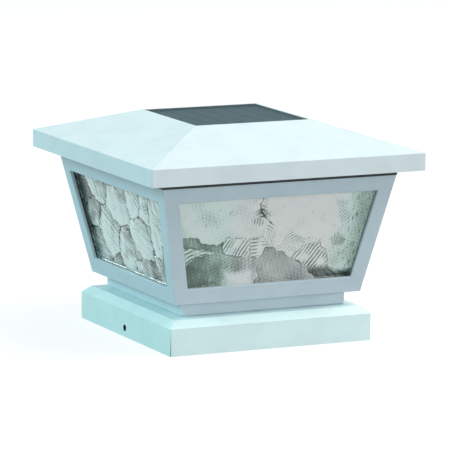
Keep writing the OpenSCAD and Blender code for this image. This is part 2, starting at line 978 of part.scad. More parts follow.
// Slider inside the switch, stem through the floor and ridged finger tab below it
module switch_knob() {
    z_finger = z_case - part_fit - finger_size[2];
    groove = [0.4, finger_size[1] + 2 * cut, 0.8];
    color("#17191b")
        translate([switch_at[0], switch_at[1], 0]) {
            translate([-slider_size[0] / 2, -slider_size[1] / 2, z_case_floor + part_fit])
                cube(slider_size);
            translate([-stem_size[0] / 2, -stem_size[1] / 2, z_case - part_fit - sink_in])
                cube([stem_size[0], stem_size[1], case_t + 2 * (part_fit + sink_in)]);
            difference() {
                translate([-finger_size[0] / 2, -finger_size[1] / 2, z_finger])
                    cube(finger_size);
                for (x = [-1:1])
                    translate([x, 0, z_finger]) cube(groove, center = true);
            }
        }
}

// ---------- battery door ----------

// Plug that fills the bay's mouth, flange over the case's floor, and two saddles for the cell
module battery_door() {
    x = bay_half - part_fit;
    y = bay_d / 2 - part_fit;
    color(white_plastic)
        translate([0, bay_y, 0])
            difference() {
                union() {
                    translate([-x, -y, z_case]) cube([2 * x, 2 * y, case_t]);
                    translate([-x - door_lap, -y - door_lap, z_case - door_flange_t])
                        cube([2 * (x + door_lap), 2 * (y + door_lap), door_flange_t]);
                    for (side = [-1, 1])
                        translate([side * saddle_at - saddle_t / 2, -y, z_case_floor])
                            cube([saddle_t, 2 * y, saddle_h]);
                }
                translate([-cell_l, 0, z_cell])
                    rotate([0, 90, 0])
                        cylinder(d = cell_d + 2 * part_fit, h = 2 * cell_l);
                // Finger notch
                translate([x + door_lap, 0, z_case - door_flange_t])
                    cylinder(r = notch_r, h = door_flange_t, center = true);
            }
}

// ---------- what is drawn ----------

post_base();
lantern_frame();
for (i = [0:3]) pane(i);
for (i = [0:3]) pane_gasket(i);
eave_strip();
pane_clips();
clip_screws();
base_screws();
roof_screws();
roof_cap();
roof_gasket();
solar_glass();
solar_cells();
solar_backing();
panel_seal();
panel_leads();
module_case();
module_screws();
circuit_board();
board_parts();
board_screws();
leds();
led_lens();
battery();
contact_spring();
contact_plate();
switch_body();
switch_leads();
switch_knob();
battery_door();
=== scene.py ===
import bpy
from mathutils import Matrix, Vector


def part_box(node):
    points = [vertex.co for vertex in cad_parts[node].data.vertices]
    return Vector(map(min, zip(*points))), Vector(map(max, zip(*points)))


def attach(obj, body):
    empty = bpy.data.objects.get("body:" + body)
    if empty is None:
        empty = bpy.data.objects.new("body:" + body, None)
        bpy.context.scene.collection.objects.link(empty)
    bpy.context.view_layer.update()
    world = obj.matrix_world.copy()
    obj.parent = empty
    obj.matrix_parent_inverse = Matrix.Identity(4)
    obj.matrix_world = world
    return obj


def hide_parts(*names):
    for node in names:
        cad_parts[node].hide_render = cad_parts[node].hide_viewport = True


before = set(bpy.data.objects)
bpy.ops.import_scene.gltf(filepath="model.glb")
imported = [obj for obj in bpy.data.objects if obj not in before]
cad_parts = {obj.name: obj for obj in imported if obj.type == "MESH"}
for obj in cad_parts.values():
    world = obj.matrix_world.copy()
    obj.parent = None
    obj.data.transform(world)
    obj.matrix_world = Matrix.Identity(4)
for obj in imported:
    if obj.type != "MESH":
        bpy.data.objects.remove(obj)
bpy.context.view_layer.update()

import math
from types import SimpleNamespace

import bmesh
import bpy
import numpy as np
from mathutils import Matrix, Vector
from mathutils.bvhtree import BVHTree

scene = bpy.context.scene
scene.view_settings.view_transform = "Standard"
MM = 0.001


# ---- Camera and studio ----
# The camera stands two and a half metres off and a little above the roof, with a long lens.
# A wide soft box hangs overhead, and one soft lamp stands on each side. The floor and the
# background are white to the eye, and the floor keeps the light's shadow.
camera = bpy.data.objects.new("camera", bpy.data.cameras.new("camera"))
camera.data.lens = 306.3
camera.data.clip_end = 50
camera.matrix_world = Matrix((
    (0.90302, 0.06328, -0.42493, -1.111),
    (-0.42951, 0.15498, -0.88967, -2.326),
    (0.00956, 0.98589, 0.16712, 0.509),
    (0, 0, 0, 1),
))
scene.collection.objects.link(camera)
scene.camera = camera


class Flow:
    """What comes out of a node. It can be reckoned with as a plain number."""

    def __init__(self, socket):
        self.socket = socket
        self.tree = socket.id_data

    def step(self, kind, a, b=0.0):
        return got(self.tree, "ShaderNodeMath", {0: a, 1: b}, operation=kind)

    __add__ = lambda a, b: a.step("ADD", a, b)
    __sub__ = lambda a, b: a.step("SUBTRACT", a, b)
    __rsub__ = lambda a, b: a.step("SUBTRACT", b, a)
    __mul__ = lambda a, b: a.step("MULTIPLY", a, b)
    __truediv__ = lambda a, b: a.step("DIVIDE", a, b)
    __pow__ = lambda a, b: a.step("POWER", a, b)


def join(node, sockets):
    """Sets a node's sockets, by name or place, or joins them to what comes out of other nodes."""
    for name, value in sockets.items():
        if isinstance(value, (Flow, list)):
            for each in reversed(value) if isinstance(value, list) else [value]:
                node.id_data.links.new(each.socket, node.inputs[name])
        else:
            node.inputs[name].default_value = value


def add(tree, kind, sockets=None, **settings):
    """Adds a node to a tree."""
    node = tree.nodes.new(kind)
    for name, value in settings.items():
        setattr(node, name, value)
    join(node, sockets or {})
    return node


def got(tree, kind, sockets=None, out=0, **settings):
    """Adds a node to a tree, and gives one of its outputs."""
    return Flow(add(tree, kind, sockets, **settings).outputs[out])


def lit_or_shown(tree, lit, shown):
    """One shader for the light that reaches the object, and one for the rays that show the
    background itself: from the camera, off a gloss or through glass."""
    path = add(tree, "ShaderNodeLightPath").outputs
    direct = Flow(path["Is Camera Ray"])
    for kind in ("Is Glossy Ray", "Is Transmission Ray"):
        direct = direct.step("MAXIMUM", direct, Flow(path[kind]))
    return got(tree, "ShaderNodeMixShader", {0: direct, 1: lit, 2: shown})


world = bpy.data.worlds.new("white room")
world.use_nodes = True
scene.world = world
room = world.node_tree
room.nodes.clear()
room_light = got(room, "ShaderNodeBackground", {"Color": (0.82, 0.97, 1.0, 1), "Strength": 0.36})
room_white = got(room, "ShaderNodeBackground", {"Color": (1, 1, 1, 1), "Strength": 1.0})
add(room, "ShaderNodeOutputWorld", {"Surface": lit_or_shown(room, room_light, room_white)})

FLOOR_EDGE = 9.0         # half the floor's width
UNDER_LIGHT = 71 * MM    # half the width of the dull patch inside the collar
floor_mesh = bpy.data.meshes.new("floor")
lines = (-FLOOR_EDGE, -UNDER_LIGHT, UNDER_LIGHT, FLOOR_EDGE)
floor_mesh.from_pydata(
    [(x, y, 0) for y in lines for x in lines], [],
    [(4 * j + i, 4 * j + i + 1, 4 * j + i + 5, 4 * j + i + 4) for j in range(3) for i in range(3)],
)
floor = bpy.data.objects.new("floor", floor_mesh)
scene.collection.objects.link(floor)
for name, strength in (("white floor", 0.78), ("floor inside the collar", 0.0)):
    floor_look = bpy.data.materials.new(name)
    floor_look.use_nodes = True
    tree = floor_look.node_tree
    tree.nodes.clear()
    bounce = got(tree, "ShaderNodeBsdfDiffuse", {"Color": (0.27, 0.30, 0.31, 1)})
    glow = got(tree, "ShaderNodeEmission", {"Color": (1, 1, 1, 1), "Strength": strength})
    shade = got(tree, "ShaderNodeBsdfDiffuse", {"Color": (0.28, 0.28, 0.28, 1)})
    both = got(tree, "ShaderNodeAddShader", {0: glow, 1: shade})
    add(tree, "ShaderNodeOutputMaterial", {"Surface": lit_or_shown(tree, bounce, both)})
    floor_mesh.materials.append(floor_look)
floor_mesh.polygons[4].material_index = 1


AIM = Vector((0, 0, 0.08))    # the middle of the light


def soft_lamp(name, place, size, watts, colour):
    """A square soft box that looks at the middle of the light."""
    lamp = bpy.data.objects.new(name, bpy.data.lights.new(name, "AREA"))
    lamp.data.size = size
    lamp.data.energy = watts
    lamp.data.color = colour
    lamp.location = place
    lamp.rotation_euler = (Vector(place) - AIM).to_track_quat("Z", "Y").to_euler()
    lamp.visible_camera = False
    scene.collection.objects.link(lamp)


soft_lamp("overhead box", (1.3, -0.9, 2.5), 1.6, 57, (1.0, 0.975, 0.95))
soft_lamp("front box", (0.0, -2.6, 0.55), 1.1, 22, (1.0, 0.95, 0.95))
soft_lamp("left box", (-2.4, -0.2, 1.3), 1.1, 28, (0.46, 0.93, 0.98))
soft_lamp("right box", (2.6, 0.3, 1.2), 1.1, 22, (1.0, 1.0, 1.0))
soft_lamp("back box", (-1.3, 2.4, 0.6), 1.2, 25, (0.84, 1.0, 0.97))


# ---- Post base ----
# The collar that slips over the post: one aluminium casting with a skirt, a chamfer and a
# flat deck, ribbed underneath. Its corners are eased, and it is powder coated white.
def new_look(name, stretch=(1, 1, 1)):
    """A material, its shader, and the place on the piece that its patterns read."""
    look = bpy.data.materials.new(name)
    look.use_nodes = True
    tree = look.node_tree
    where = got(tree, "ShaderNodeTexCoord", out="Object")
    here = got(tree, "ShaderNodeMapping", {"Vector": where, "Scale": stretch})
    return look, tree.nodes["Principled BSDF"], here


def speckle(here, scale, detail=3.0, rough=0.55):
    """Cloudy noise, from 0 to 1."""
    sockets = {"Vector": here, "Scale": scale, "Detail": detail, "Roughness": rough}
    return got(here.tree, "ShaderNodeTexNoise", sockets, "Fac")


def ramp(value, *stops):
    """Colours at steps of a value from 0 to 1."""
    node = add(value.tree, "ShaderNodeValToRGB", {"Fac": value})
    elements = node.color_ramp.elements
    while len(elements) < len(stops):
        elements.new(0.5)
    for element, (place, colour) in zip(elements, stops):
        element.position = place
        element.color = (*colour, 1)
    return Flow(node.outputs["Color"])


def span(value, low, high, from_low=0.0, from_high=1.0):
    """A value moved from one range to another."""
    sockets = {"Value": value, "From Min": from_low, "From Max": from_high, "To Min": low, "To Max": high}
    return got(value.tree, "ShaderNodeMapRange", sockets, "Result")


def blend(share, first, second):
    """One colour that turns into another."""
    return got(share.tree, "ShaderNodeMix", {0: share, 6: first, 7: second}, 2, data_type="RGBA")


def raised(height, depth, strength):
    """A surface normal from a height, with its depth in mm."""
    sockets = {"Height": height, "Distance": depth * MM, "Strength": strength}
    return got(height.tree, "ShaderNodeBump", sockets)


def powder_coat(name, tint):
    """Powder coat in a pale tint, slightly cloudy, with the fine grain that the baked powder leaves."""
    coat, shader, here = new_look(name)
    tones = ((0.30, 0.95), (0.52, 1.0), (0.74, 1.035))
    stops = [(place, tuple(share * c for c in tint)) for place, share in tones]
    join(shader, {
        "Base Color": ramp(speckle(here, 46.0, 5.0, 0.6), *stops),
        "Roughness": span(speckle(here, 160.0), 0.36, 0.52, 0.3, 0.7),
        "Normal": raised(speckle(here, 900.0, 2.0), 0.04, 0.6),
        "Specular IOR Level": 0.15,
    })
    return coat


def hand_over(piece, body, slot, *nodes):
    """Says what a finished piece moves with and which CAD nodes it stands for. slot is not used."""
    if piece.name not in scene.collection.objects:
        scene.collection.objects.link(piece)
    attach(piece, body)
    if nodes:
        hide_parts(*nodes)


def crisp(mesh, angle=32):
    """Smooth shading, with the corners sharper than the angle kept."""
    mesh.shade_smooth()
    mesh.set_sharp_from_angle(angle=math.radians(angle))


def applied(piece):
    """The plain mesh that a piece's modifiers give, with the modifiers removed."""
    bpy.context.view_layer.update()
    plain = bpy.data.meshes.new_from_object(piece.evaluated_get(bpy.context.evaluated_depsgraph_get()))
    piece.modifiers.clear()
    return plain


SHARP = math.radians(20)     # edges flatter than this are not eased
FLAT = math.radians(0.5)     # faces nearer than this in slope are one flat
MERGE = 0.002 * MM           # points of a CAD mesh nearer than this are one
CLEAR, REACH = 0.2 * MM, 0.4    # an edge is outside if nothing stands between these distances from it


def eased(name, node, body, slot, look, radius, shortest):
    """A copy of a CAD node, with its outside edges rounded where they are longer than shortest, in mm."""
    piece = bpy.data.objects.new(name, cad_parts[node].data.copy())
    piece.data.materials.clear()
    shape = bmesh.new()
    shape.from_mesh(piece.data)
    bmesh.ops.remove_doubles(shape, verts=shape.verts, dist=MERGE)
    bmesh.ops.dissolve_limit(shape, angle_limit=FLAT, verts=shape.verts, edges=shape.edges, delimit=set())
    shape.normal_update()
    skin = BVHTree.FromBMesh(shape)

    def outside(edge):
        if len(edge.link_faces) != 2 or not edge.is_convex or edge.calc_length() < shortest * MM:
            return False
        if edge.calc_face_angle(0) < SHARP:
            return False
        out = (edge.link_faces[0].normal + edge.link_faces[1].normal).normalized()
        middle = (edge.verts[0].co + edge.verts[1].co) / 2
        return skin.ray_cast(middle + out * CLEAR, out, REACH)[0] is None

    bmesh.ops.bevel(
        shape, geom=[e for e in shape.edges if outside(e)], offset=radius * MM, offset_type="OFFSET",
        segments=3, profile=0.5, affect="EDGES", clamp_overlap=True,
    )
    shape.to_mesh(piece.data)
    shape.free()
    crisp(piece.data)
    piece.data.materials.append(look)
    scene.collection.objects.link(piece)
    piece.modifiers.new("even shading of the flats", "WEIGHTED_NORMAL").keep_sharp = True
    piece.data = applied(piece)
    hand_over(piece, body, slot, node)


CAST_EASE = 0.45       # radius of a casting's edges, mm
CAST_SHORTEST = 6      # shorter edges of a casting keep their corners, mm
# The castings share one white coat, tinted apart as painted light and shade: the base's tint is the palest,
# the roof's darker and the lantern's the darkest.
base_coat = powder_coat("white coat of the base", (0.755, 0.92, 0.92))

# Inside the holes for the post screws the coat is painted nearly black: painted shade in the bores.
HOLE_R, HOLE_Z = 2.25 * MM, 6.2 * MM
shader = base_coat.node_tree.nodes["Principled BSDF"]
coated = Flow(shader.inputs["Base Color"].links[0].from_socket)
off_axis = got(coated.tree, "ShaderNodeTexCoord", out="Object")
sockets = {"Vector": off_axis, "Scale": (0, 1, 1), "Location": (0, 0, -HOLE_Z)}
off_axis = got(coated.tree, "ShaderNodeMapping", sockets)
off_axis = got(coated.tree, "ShaderNodeVectorMath", {0: off_axis}, "Value", operation="LENGTH")
bore_shade = span(off_axis, 1.0, 0.0, HOLE_R, HOLE_R + 0.1 * MM)
join(shader, {"Base Color": blend(bore_shade, coated, (0.03, 0.034, 0.036, 1))})
eased("cast_post_base", "post_base", "base", "coat", base_coat, CAST_EASE, CAST_SHORTEST)


# ---- Lantern frame ----
# The four-sided frame that widens upwards, cast in one with its neck, its sill and the
# flange that the roof screws to. The same white coat, in a darker tint: painted shade.
eased("cast_lantern_frame", "lantern_frame", "base", "coat",
      powder_coat("white coat of the lantern", (0.595, 0.695, 0.75)), CAST_EASE, CAST_SHORTEST)


# ---- Base screws ----
# Four pan head screws of plated steel, driven up through the deck of the collar into the
# bosses in the lantern's neck. Each has a domed head, a cross recess and a rolled thread.
def loose_parts(node):
    """Points of each separate solid of a CAD node, in a steady order."""
    shape = bmesh.new()
    shape.from_mesh(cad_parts[node].data)
    bmesh.ops.remove_doubles(shape, verts=shape.verts, dist=MERGE)
    left, parts = set(shape.verts), []
    while left:
        queue, part = [left.pop()], []
        while queue:
            point = queue.pop()
            part.append(point.co[:])
            for edge in point.link_edges:
                other = edge.other_vert(point)
                if other in left:
                    left.remove(other)
                    queue.append(other)
        parts.append(np.array(part))
    shape.free()
    return sorted(parts, key=lambda part: tuple(np.round((part.min(0) + part.max(0)) / 2, 5)))


def standing(part, up, along=None):
    """Place of a solid's foot, at the low end of its middle line: Z up its axis, Y near a direction."""
    z = Vector(up).normalized()
    y = Vector(along) if along else z.orthogonal()
    y = (y - z * y.dot(z)).normalized()
    turn = Matrix((y.cross(z), y, z)).transposed()
    local = part @ np.array(turn)
    middle = (local.min(0) + local.max(0)) / 2
    return Matrix.Translation(turn @ Vector((middle[0], middle[1], local[:, 2].min()))) @ turn.to_4x4()


def new_tree(name, *lengths, **others):
    """A Geometry Nodes tree that stands a shape on points, and its named inputs."""
    tree = bpy.data.node_groups.new(name, "GeometryNodeTree")
    tree.interface.new_socket("Geometry", in_out="OUTPUT", socket_type="NodeSocketGeometry")
    kinds = dict(places="Geometry", **dict.fromkeys(lengths, "Float"), **others, finish="Material")
    for label, kind in kinds.items():
        socket = tree.interface.new_socket(label, in_out="INPUT", socket_type="NodeSocket" + kind)
        if label in lengths:
            socket.subtype = "DISTANCE"
    given = tree.nodes.new("NodeGroupInput").outputs
    return tree, SimpleNamespace(**{label: Flow(given[label]) for label in kinds})


def coordinates(vector):
    """The x, y and z of a vector."""
    return [Flow(part) for part in add(vector.tree, "ShaderNodeSeparateXYZ", {0: vector}).outputs]


def at(tree, x=0.0, y=0.0, z=0.0):
    """A vector of three numbers."""
    return got(tree, "ShaderNodeCombineXYZ", {0: x, 1: y, 2: z})


def lifted(shape, z):
    """A shape moved along Z."""
    return got(shape.tree, "GeometryNodeTransform", {"Geometry": shape, "Translation": at(shape.tree, z=z)})


def reshaped(shape, x=0.0, y=0.0, z=0.0):
    """A shape with a new place for each of its points."""
    sockets = {"Geometry": shape, "Position": at(shape.tree, x, y, z)}
    return got(shape.tree, "GeometryNodeSetPosition", sockets)


def swept(path, section):
    """A section swept along a path, with closed ends."""
    sockets = {"Curve": path, "Profile Curve": section, "Fill Caps": True}
    return got(path.tree, "GeometryNodeCurveToMesh", sockets)


def cut(shape, tools):
    """A shape with others cut out of it."""
    sockets = {"Mesh 1": shape, "Mesh 2": tools}
    return got(shape.tree, "GeometryNodeMeshBoolean", sockets, operation="DIFFERENCE")


def cylinder(tree, steps, r, depth, rings=1):
    """An upright cylinder, its middle at the origin."""
    sockets = {"Vertices": steps, "Side Segments": rings, "Radius": r, "Depth": depth}
    return got(tree, "GeometryNodeMeshCylinder", sockets)


def circle(tree, steps, r):
    """A round section for a wire, or a square one where it has four steps."""
    return got(tree, "GeometryNodeCurvePrimitiveCircle", {"Resolution": steps, "Radius": r})


def stand(tree, given, shape):
    """Ends a tree: a copy on each point, turned as the point says, made real and given its finish."""
    turn = got(tree, "GeometryNodeInputNamedAttribute", {"Name": "turn"}, data_type="FLOAT_VECTOR")
    turn = got(tree, "FunctionNodeEulerToRotation", {0: turn})
    copies = {"Points": given.places, "Instance": shape, "Rotation": turn}
    real = got(tree, "GeometryNodeRealizeInstances", {0: got(tree, "GeometryNodeInstanceOnPoints", copies)})
    done = got(tree, "GeometryNodeSetMaterial", {"Geometry": real, "Material": given.finish})
    add(tree, "NodeGroupOutput", {0: done})


def grow(name, places, tree, body, slot, *nodes, **sizes):
    """Runs a tree on points at some places, with its lengths in mm, and keeps the plain mesh."""
    mesh = bpy.data.meshes.new(name)
    mesh.from_pydata([place.translation[:] for place in places], [], [])
    turns = mesh.attributes.new("turn", "FLOAT_VECTOR", "POINT")
    turns.data.foreach_set("vector", [angle for place in places for angle in place.to_euler()])
    piece = bpy.data.objects.new(name, mesh)
    scene.collection.objects.link(piece)
    modifier = piece.modifiers.new("growth", "NODES")
    modifier.node_group = tree
    for item in tree.interface.items_tree:
        if item.in_out == "INPUT" and item.name in sizes:
            size = sizes[item.name]
            modifier[item.identifier] = size * MM if getattr(item, "subtype", "") == "DISTANCE" else size
    piece.data = applied(piece)
    crisp(piece.data)
    hand_over(piece, body, slot, *nodes)


screw_tree, given = new_tree("pan head screw", "shank_r", "shank_l", "head_r", "head_h", "pitch")
bar = cylinder(screw_tree, 20, given.shank_r * 0.80, given.shank_l)
bar = lifted(bar, given.shank_l * 0.5 + given.head_h)
thread_r, thread_l = given.shank_r * 0.82, given.shank_l - given.pitch
thread = got(screw_tree, "GeometryNodeCurveSpiral", {
    "Resolution": 14, "Rotations": thread_l / given.pitch,
    "Start Radius": thread_r, "End Radius": thread_r, "Height": thread_l})
thread = got(screw_tree, "GeometryNodeSetCurveNormal", {"Curve": thread}, mode="Z_UP")
thread = swept(thread, circle(screw_tree, 4, given.shank_r * 0.18))
thread = lifted(thread, given.pitch * 0.5 + given.head_h)
head = lifted(cylinder(screw_tree, 32, given.head_r, given.head_h, 6), given.head_h * 0.5)
x, y, z = coordinates(got(screw_tree, "GeometryNodeInputPosition"))
round_in = 1.0 - (1.0 - z / given.head_h) ** 3.0 * 0.55
round_in = round_in.step("SQRT", round_in)
head = reshaped(head, x * round_in, y * round_in, z)
long, slim = given.head_r * 1.1, given.head_r * 0.26
cross = [got(screw_tree, "GeometryNodeMeshCube", {"Size": at(screw_tree, *sides, given.head_h)})
         for sides in ((long, slim), (slim, long))]
whole = got(screw_tree, "GeometryNodeJoinGeometry", {0: [cut(head, cross), bar, thread]})
stand(screw_tree, given, whole)


def plain_look(name, scale, dark, pale, gloss, fixed=None, grain=None, stretch=(1, 1, 1)):
    """A finish whose colour drifts between two tones. gloss is the size of its speckle and the
    lowest and highest roughness, grain the size, detail, depth in mm and strength of its relief."""
    look, shader, here = new_look(name, stretch)
    size, low, high = gloss
    join(shader, {
        "Base Color": ramp(speckle(here, scale), (0.3, dark), (0.7, pale)),
        "Roughness": span(speckle(here, size), low, high),
        **(fixed or {}),
    })
    if grain:
        join(shader, {"Normal": raised(speckle(here, *grain[:2]), *grain[2:])})
    return look


METAL = {"Metallic": 1.0}
bright_zinc = plain_look("bright zinc plate", 420.0, (0.50, 0.50, 0.49), (0.68, 0.68, 0.66),
                         (900.0, 0.24, 0.44), METAL)


def screws(node, body, size, up, pitch=1.0):
    """Screws where the CAD's stand. size is the shank's radius, the head's radius and the head's
    height in mm, and up is the way from head to tip."""
    parts = loose_parts(node)
    places = [standing(part, up(part) if callable(up) else up) for part in parts]
    tall = (np.array(places[0].to_3x3().transposed()) @ parts[0].T)[2]
    grow("screws_" + node, places, screw_tree, body, "screw_steel", node, finish=bright_zinc, pitch=pitch,
         shank_r=size[0], head_r=size[1], head_h=size[2], shank_l=(tall.max() - tall.min()) / MM - size[2])


SMALL_SCREW = (1.3, 2.4, 1.7)
UP, DOWN = (0, 0, 1), (0, 0, -1)
screws("base_screws", "base", (1.6, 3.2, 2.2), UP, 1.2)


# ---- Seals ----
# Four flat gaskets of black rubber, stamped to the windows' outline and pressed between the
# panes and the lantern's walls. The CAD shape is the finished one.
def finish_node(node, look):
    """Gives a CAD node its material."""
    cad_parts[node].data.materials.clear()
    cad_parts[node].data.materials.append(look)


rubber = plain_look("black rubber", 700.0, (0.018, 0.019, 0.020), (0.035, 0.037, 0.038),
                    (240.0, 0.62, 0.80), grain=(1800.0, 1.0, 0.03, 0.5))
for side in ("front", "right", "back", "left"):
    finish_node("seal_" + side, rubber)


# ---- Panes ----
# Four trapezoid panes of cast glass with a chipped, feathered face outwards and a plain face
# inwards. The front pane is broad chips with ribbed fans round a smooth hill; the other three
# are long slanting feathers. The face is real relief, up to 1.6 mm deep.
# Each point's tone, which sets the glass's colour and how clear it is, is painted light and shade: the light
# and dark that the glass refracts.
TAPER = math.radians(12)
GRID = 0.42 * MM         # spacing of the relief's points
FLAT_EDGE = (2.3, 3.3)   # the relief fades out here, under the seal, mm from the pane's edge
DEEPEST = 1.6            # the relief goes no deeper, mm
BACK_TONE = 0.6          # tone of the plain inner face
GREEN_LEAST = 0.2        # green tint at the pane's greyest place
GREYEST = 10             # that place, mm to the right of the middle
GREEN_FROM, GREEN_FADE = 28, 20    # the tint grows at this distance from there, over this width, mm


def smooth(t):
    """A value from 0 to 1, eased at both ends."""
    t = np.clip(t, 0, 1)
    return t * t * (3 - 2 * t)


def hump(t):
    """1 at 0, falling away on both sides."""
    return np.exp(-t ** 2)


def ripple(x, y, size, seed, count=7, stretch=(1.0, 1.0), turn=0.0):
    """Smooth random waves about the given size in mm, roughly from -1 to 1."""
    rng = np.random.default_rng(seed)
    c, s = math.cos(turn), math.sin(turn)
    a, b = (x * c + y * s) / stretch[0], (-x * s + y * c) / stretch[1]
    total = np.zeros_like(x)
    for _ in range(count):
        angle = rng.uniform(0, math.pi)
        wave = 2 * math.pi / (size * rng.uniform(0.7, 1.5))
        total += np.sin((a * math.cos(angle) + b * math.sin(angle)) * wave + rng.uniform(0, 2 * math.pi))
    return total / math.sqrt(count)


def from_line(x, y, ax, ay, bx, by):
    """Distance to a straight line between two points."""
    t = np.clip(((x - ax) * (bx - ax) + (y - ay) * (by - ay)) / ((bx - ax) ** 2 + (by - ay) ** 2), 0, 1)
    return np.hypot(x - ax - t * (bx - ax), y - ay - t * (by - ay))


def inside_distance(x, y, outline):
    """Distance in mm to an outline, above 0 inside it."""
    inside = np.zeros(x.shape, bool)
    near = np.full(x.shape, 1e9)
    for (ax, ay), (bx, by) in zip(outline, outline[1:] + outline[:1]):
        crosses = (ay > y) != (by > y)
        with np.errstate(divide="ignore", invalid="ignore"):
            inside ^= crosses & (x < (bx - ax) * (y - ay) / (by - ay + 1e-12) + ax)
        near = np.minimum(near, from_line(x, y, ax, ay, bx, by))
    return np.where(inside, near, -near)


RIB_CREST = 0.62         # share of a rib's width that its gentle side takes
RAY_WIDTH = 14.0         # pitch of a fan of rays is measured at this distance from its middle, mm


def ribs(x, y, way, pitch, seed):
    """Saw-toothed ribs, 0 to 1, and a mask for the painted shade in the foot of each.

    way is an angle in degrees, or the middle of a fan of arcs or rays.
    """
    wobble = ripple(x, y, 16.0, seed) * 0.12 + ripple(x, y, 5.0, seed + 1) * 0.04
    if isinstance(way, tuple):
        kind, cx, cy = way
        phase = np.hypot(x - cx, y - cy) if kind == "arcs" else np.arctan2(y - cy, x - cx) * RAY_WIDTH
    else:
        turn = math.radians(way)
        phase = x * math.sin(turn) - y * math.cos(turn)
    part = (phase / pitch + wobble) % 1.0
    comb = np.where(part < RIB_CREST, part / RIB_CREST, (1 - part) / (1 - RIB_CREST))
    return comb, hump((part - RIB_CREST) / 0.15)


# Chips of the front pane, from the back one to the front one, in mm from the middle of the
# pane's lower edge: outline, depth, tone as painted light and shade, ribs' way, ribs' pitch,
# ribs' depth, darkness of the painted shade at its edge. A chip with no edge melts into the ones below it.
FRONT_CHIPS = [
    # pale smooth field, upper left
    ([(-80, 70), (-80, 36), (-57, 38), (-54, 35), (-50, 33), (-41, 31), (-36, 35), (-6, 35), (-7, 44),
      (-12, 54), (-12, 70)],
     0.0, 0.84, None, 0, 0, 0.4),
    # middle sheet and upper right
    ([(-12, 70), (-12, 54), (-7, 43), (-6, 35), (24, 33), (42, 31), (58, 44), (54, 70)],
     0.08, 0.92, None, 0, 0, 0.4),
    # faint fan at the top of it
    ([(24, 54), (38, 54), (41, 42), (27, 43)], 0.08, 0.92, 84, 1.9, 0.14, 0),
    # right field
    ([(52, 70), (55, 46), (48, 34), (43, 30), (44, 12), (62, 0), (80, 70)], 0.20, 0.76, None, 0, 0, 0),
    # slanting ribs at its top
    ([(43, 60), (54, 59), (59, 44), (49, 39)], 0.20, 0.78, 48, 1.9, 0.20, 0),
    # dark field under the wavy edge, lower left
    ([(-80, 38), (-57, 38), (-54, 35), (-50, 32.5), (-41, 31.5), (-37, 34), (-37, 30), (-34, 24), (-12, 22),
      (-12, -5), (-80, -5)],
     0.85, 0.46, None, 0, 0, 1),
    # bright streaks in it
    ([(-66, 31), (-43, 28), (-42, 25), (-56, 23.5), (-62, 17.5), (-68, 17)],
     0.55, 0.74, ("arcs", -50, 8), 2.6, 0.50, 0.6),
    # darker corner below them, with fine lozenges
    ([(-80, 20), (-58, 20), (-46, 14), (-42, 4), (-46, -8), (-80, -8)], 0.90, 0.36, 45, 1.6, 0.12, 0),
    # grey patch below the ribs, and its pale foot
    ([(-39, 26), (-10, 26), (-8, -8), (-36, -8)], 0.45, 0.62, 30, 2.0, 0.08, 0),
    ([(-33, 12), (-13, 12), (-9, -8), (-33, -8)], 0.30, 0.84, None, 0, 0, 0),
    # slanted ribs
    ([(-34.7, 36), (-17, 35.2), (-15.9, 20.9), (-26.2, 22.5), (-33.9, 24.2), (-36.8, 30.2)],
     0.40, 0.86, 60, 2.1, 0.40, 0.8),
    # level ribs
    ([(-17, 35.2), (-6.4, 35.2), (-3.5, 28), (-8.7, 20.2), (-15.4, 22)], 0.40, 0.86, 4, 2.4, 0.36, 0.6),
    # ribs at the foot of the fern
    ([(-18, 50), (-7, 49), (-2, 44), (-4, 41), (-17, 43)], 0.12, 0.90, 84, 2.1, 0.26, 0),
    # steep fine ribs
    ([(-7.2, 43), (2, 42.2), (6.3, 31), (-1.6, 28.7), (-6.3, 35)], 0.12, 0.90, 112, 1.7, 0.22, 0.5),
    # shallow fine ribs
    ([(3.4, 38.5), (14.7, 37.6), (24, 33), (24.3, 26), (16.6, 21.6), (9, 24), (-1, 27.7), (5.3, 31)],
     0.12, 0.88, 28, 1.8, 0.21, 0.4),
    # fan on the right
    ([(15.3, 19.7), (24.2, 27.1), (35.3, 28.8), (42, 20), (43.7, 9.7), (36.8, 7.2), (28.1, 10.8),
      (20.3, 16.4)],
     0.50, 0.80, 52, 2.3, 0.48, 0.8),
    # small arc to its right
    ([(42.2, 31), (49.5, 34.5), (55, 29), (53, 25), (46, 26)],
     0.30, 0.76, ("rays", 46, 20), 2.2, 0.26, 0.3),
    # dark foot on the right
    ([(28, 11), (44, 11.5), (50, 8), (66, 8), (66, -8), (28, -8)],
     0.90, 0.30, ("rays", 30, 20), 2.2, 0.16, 0),
    # smooth hill in the middle
    ([(-4.4, 27), (-0.9, 27.4), (6.1, 24.3), (12.6, 20.4), (20.3, 15.8), (28.2, 9.8), (35.8, 2.3), (39, -5),
      (-14, -5), (-11.2, 1.4), (-8.4, 8.6), (-10.4, 18.6)],
     0.35, 0.58, None, 0, 0, 1),
]
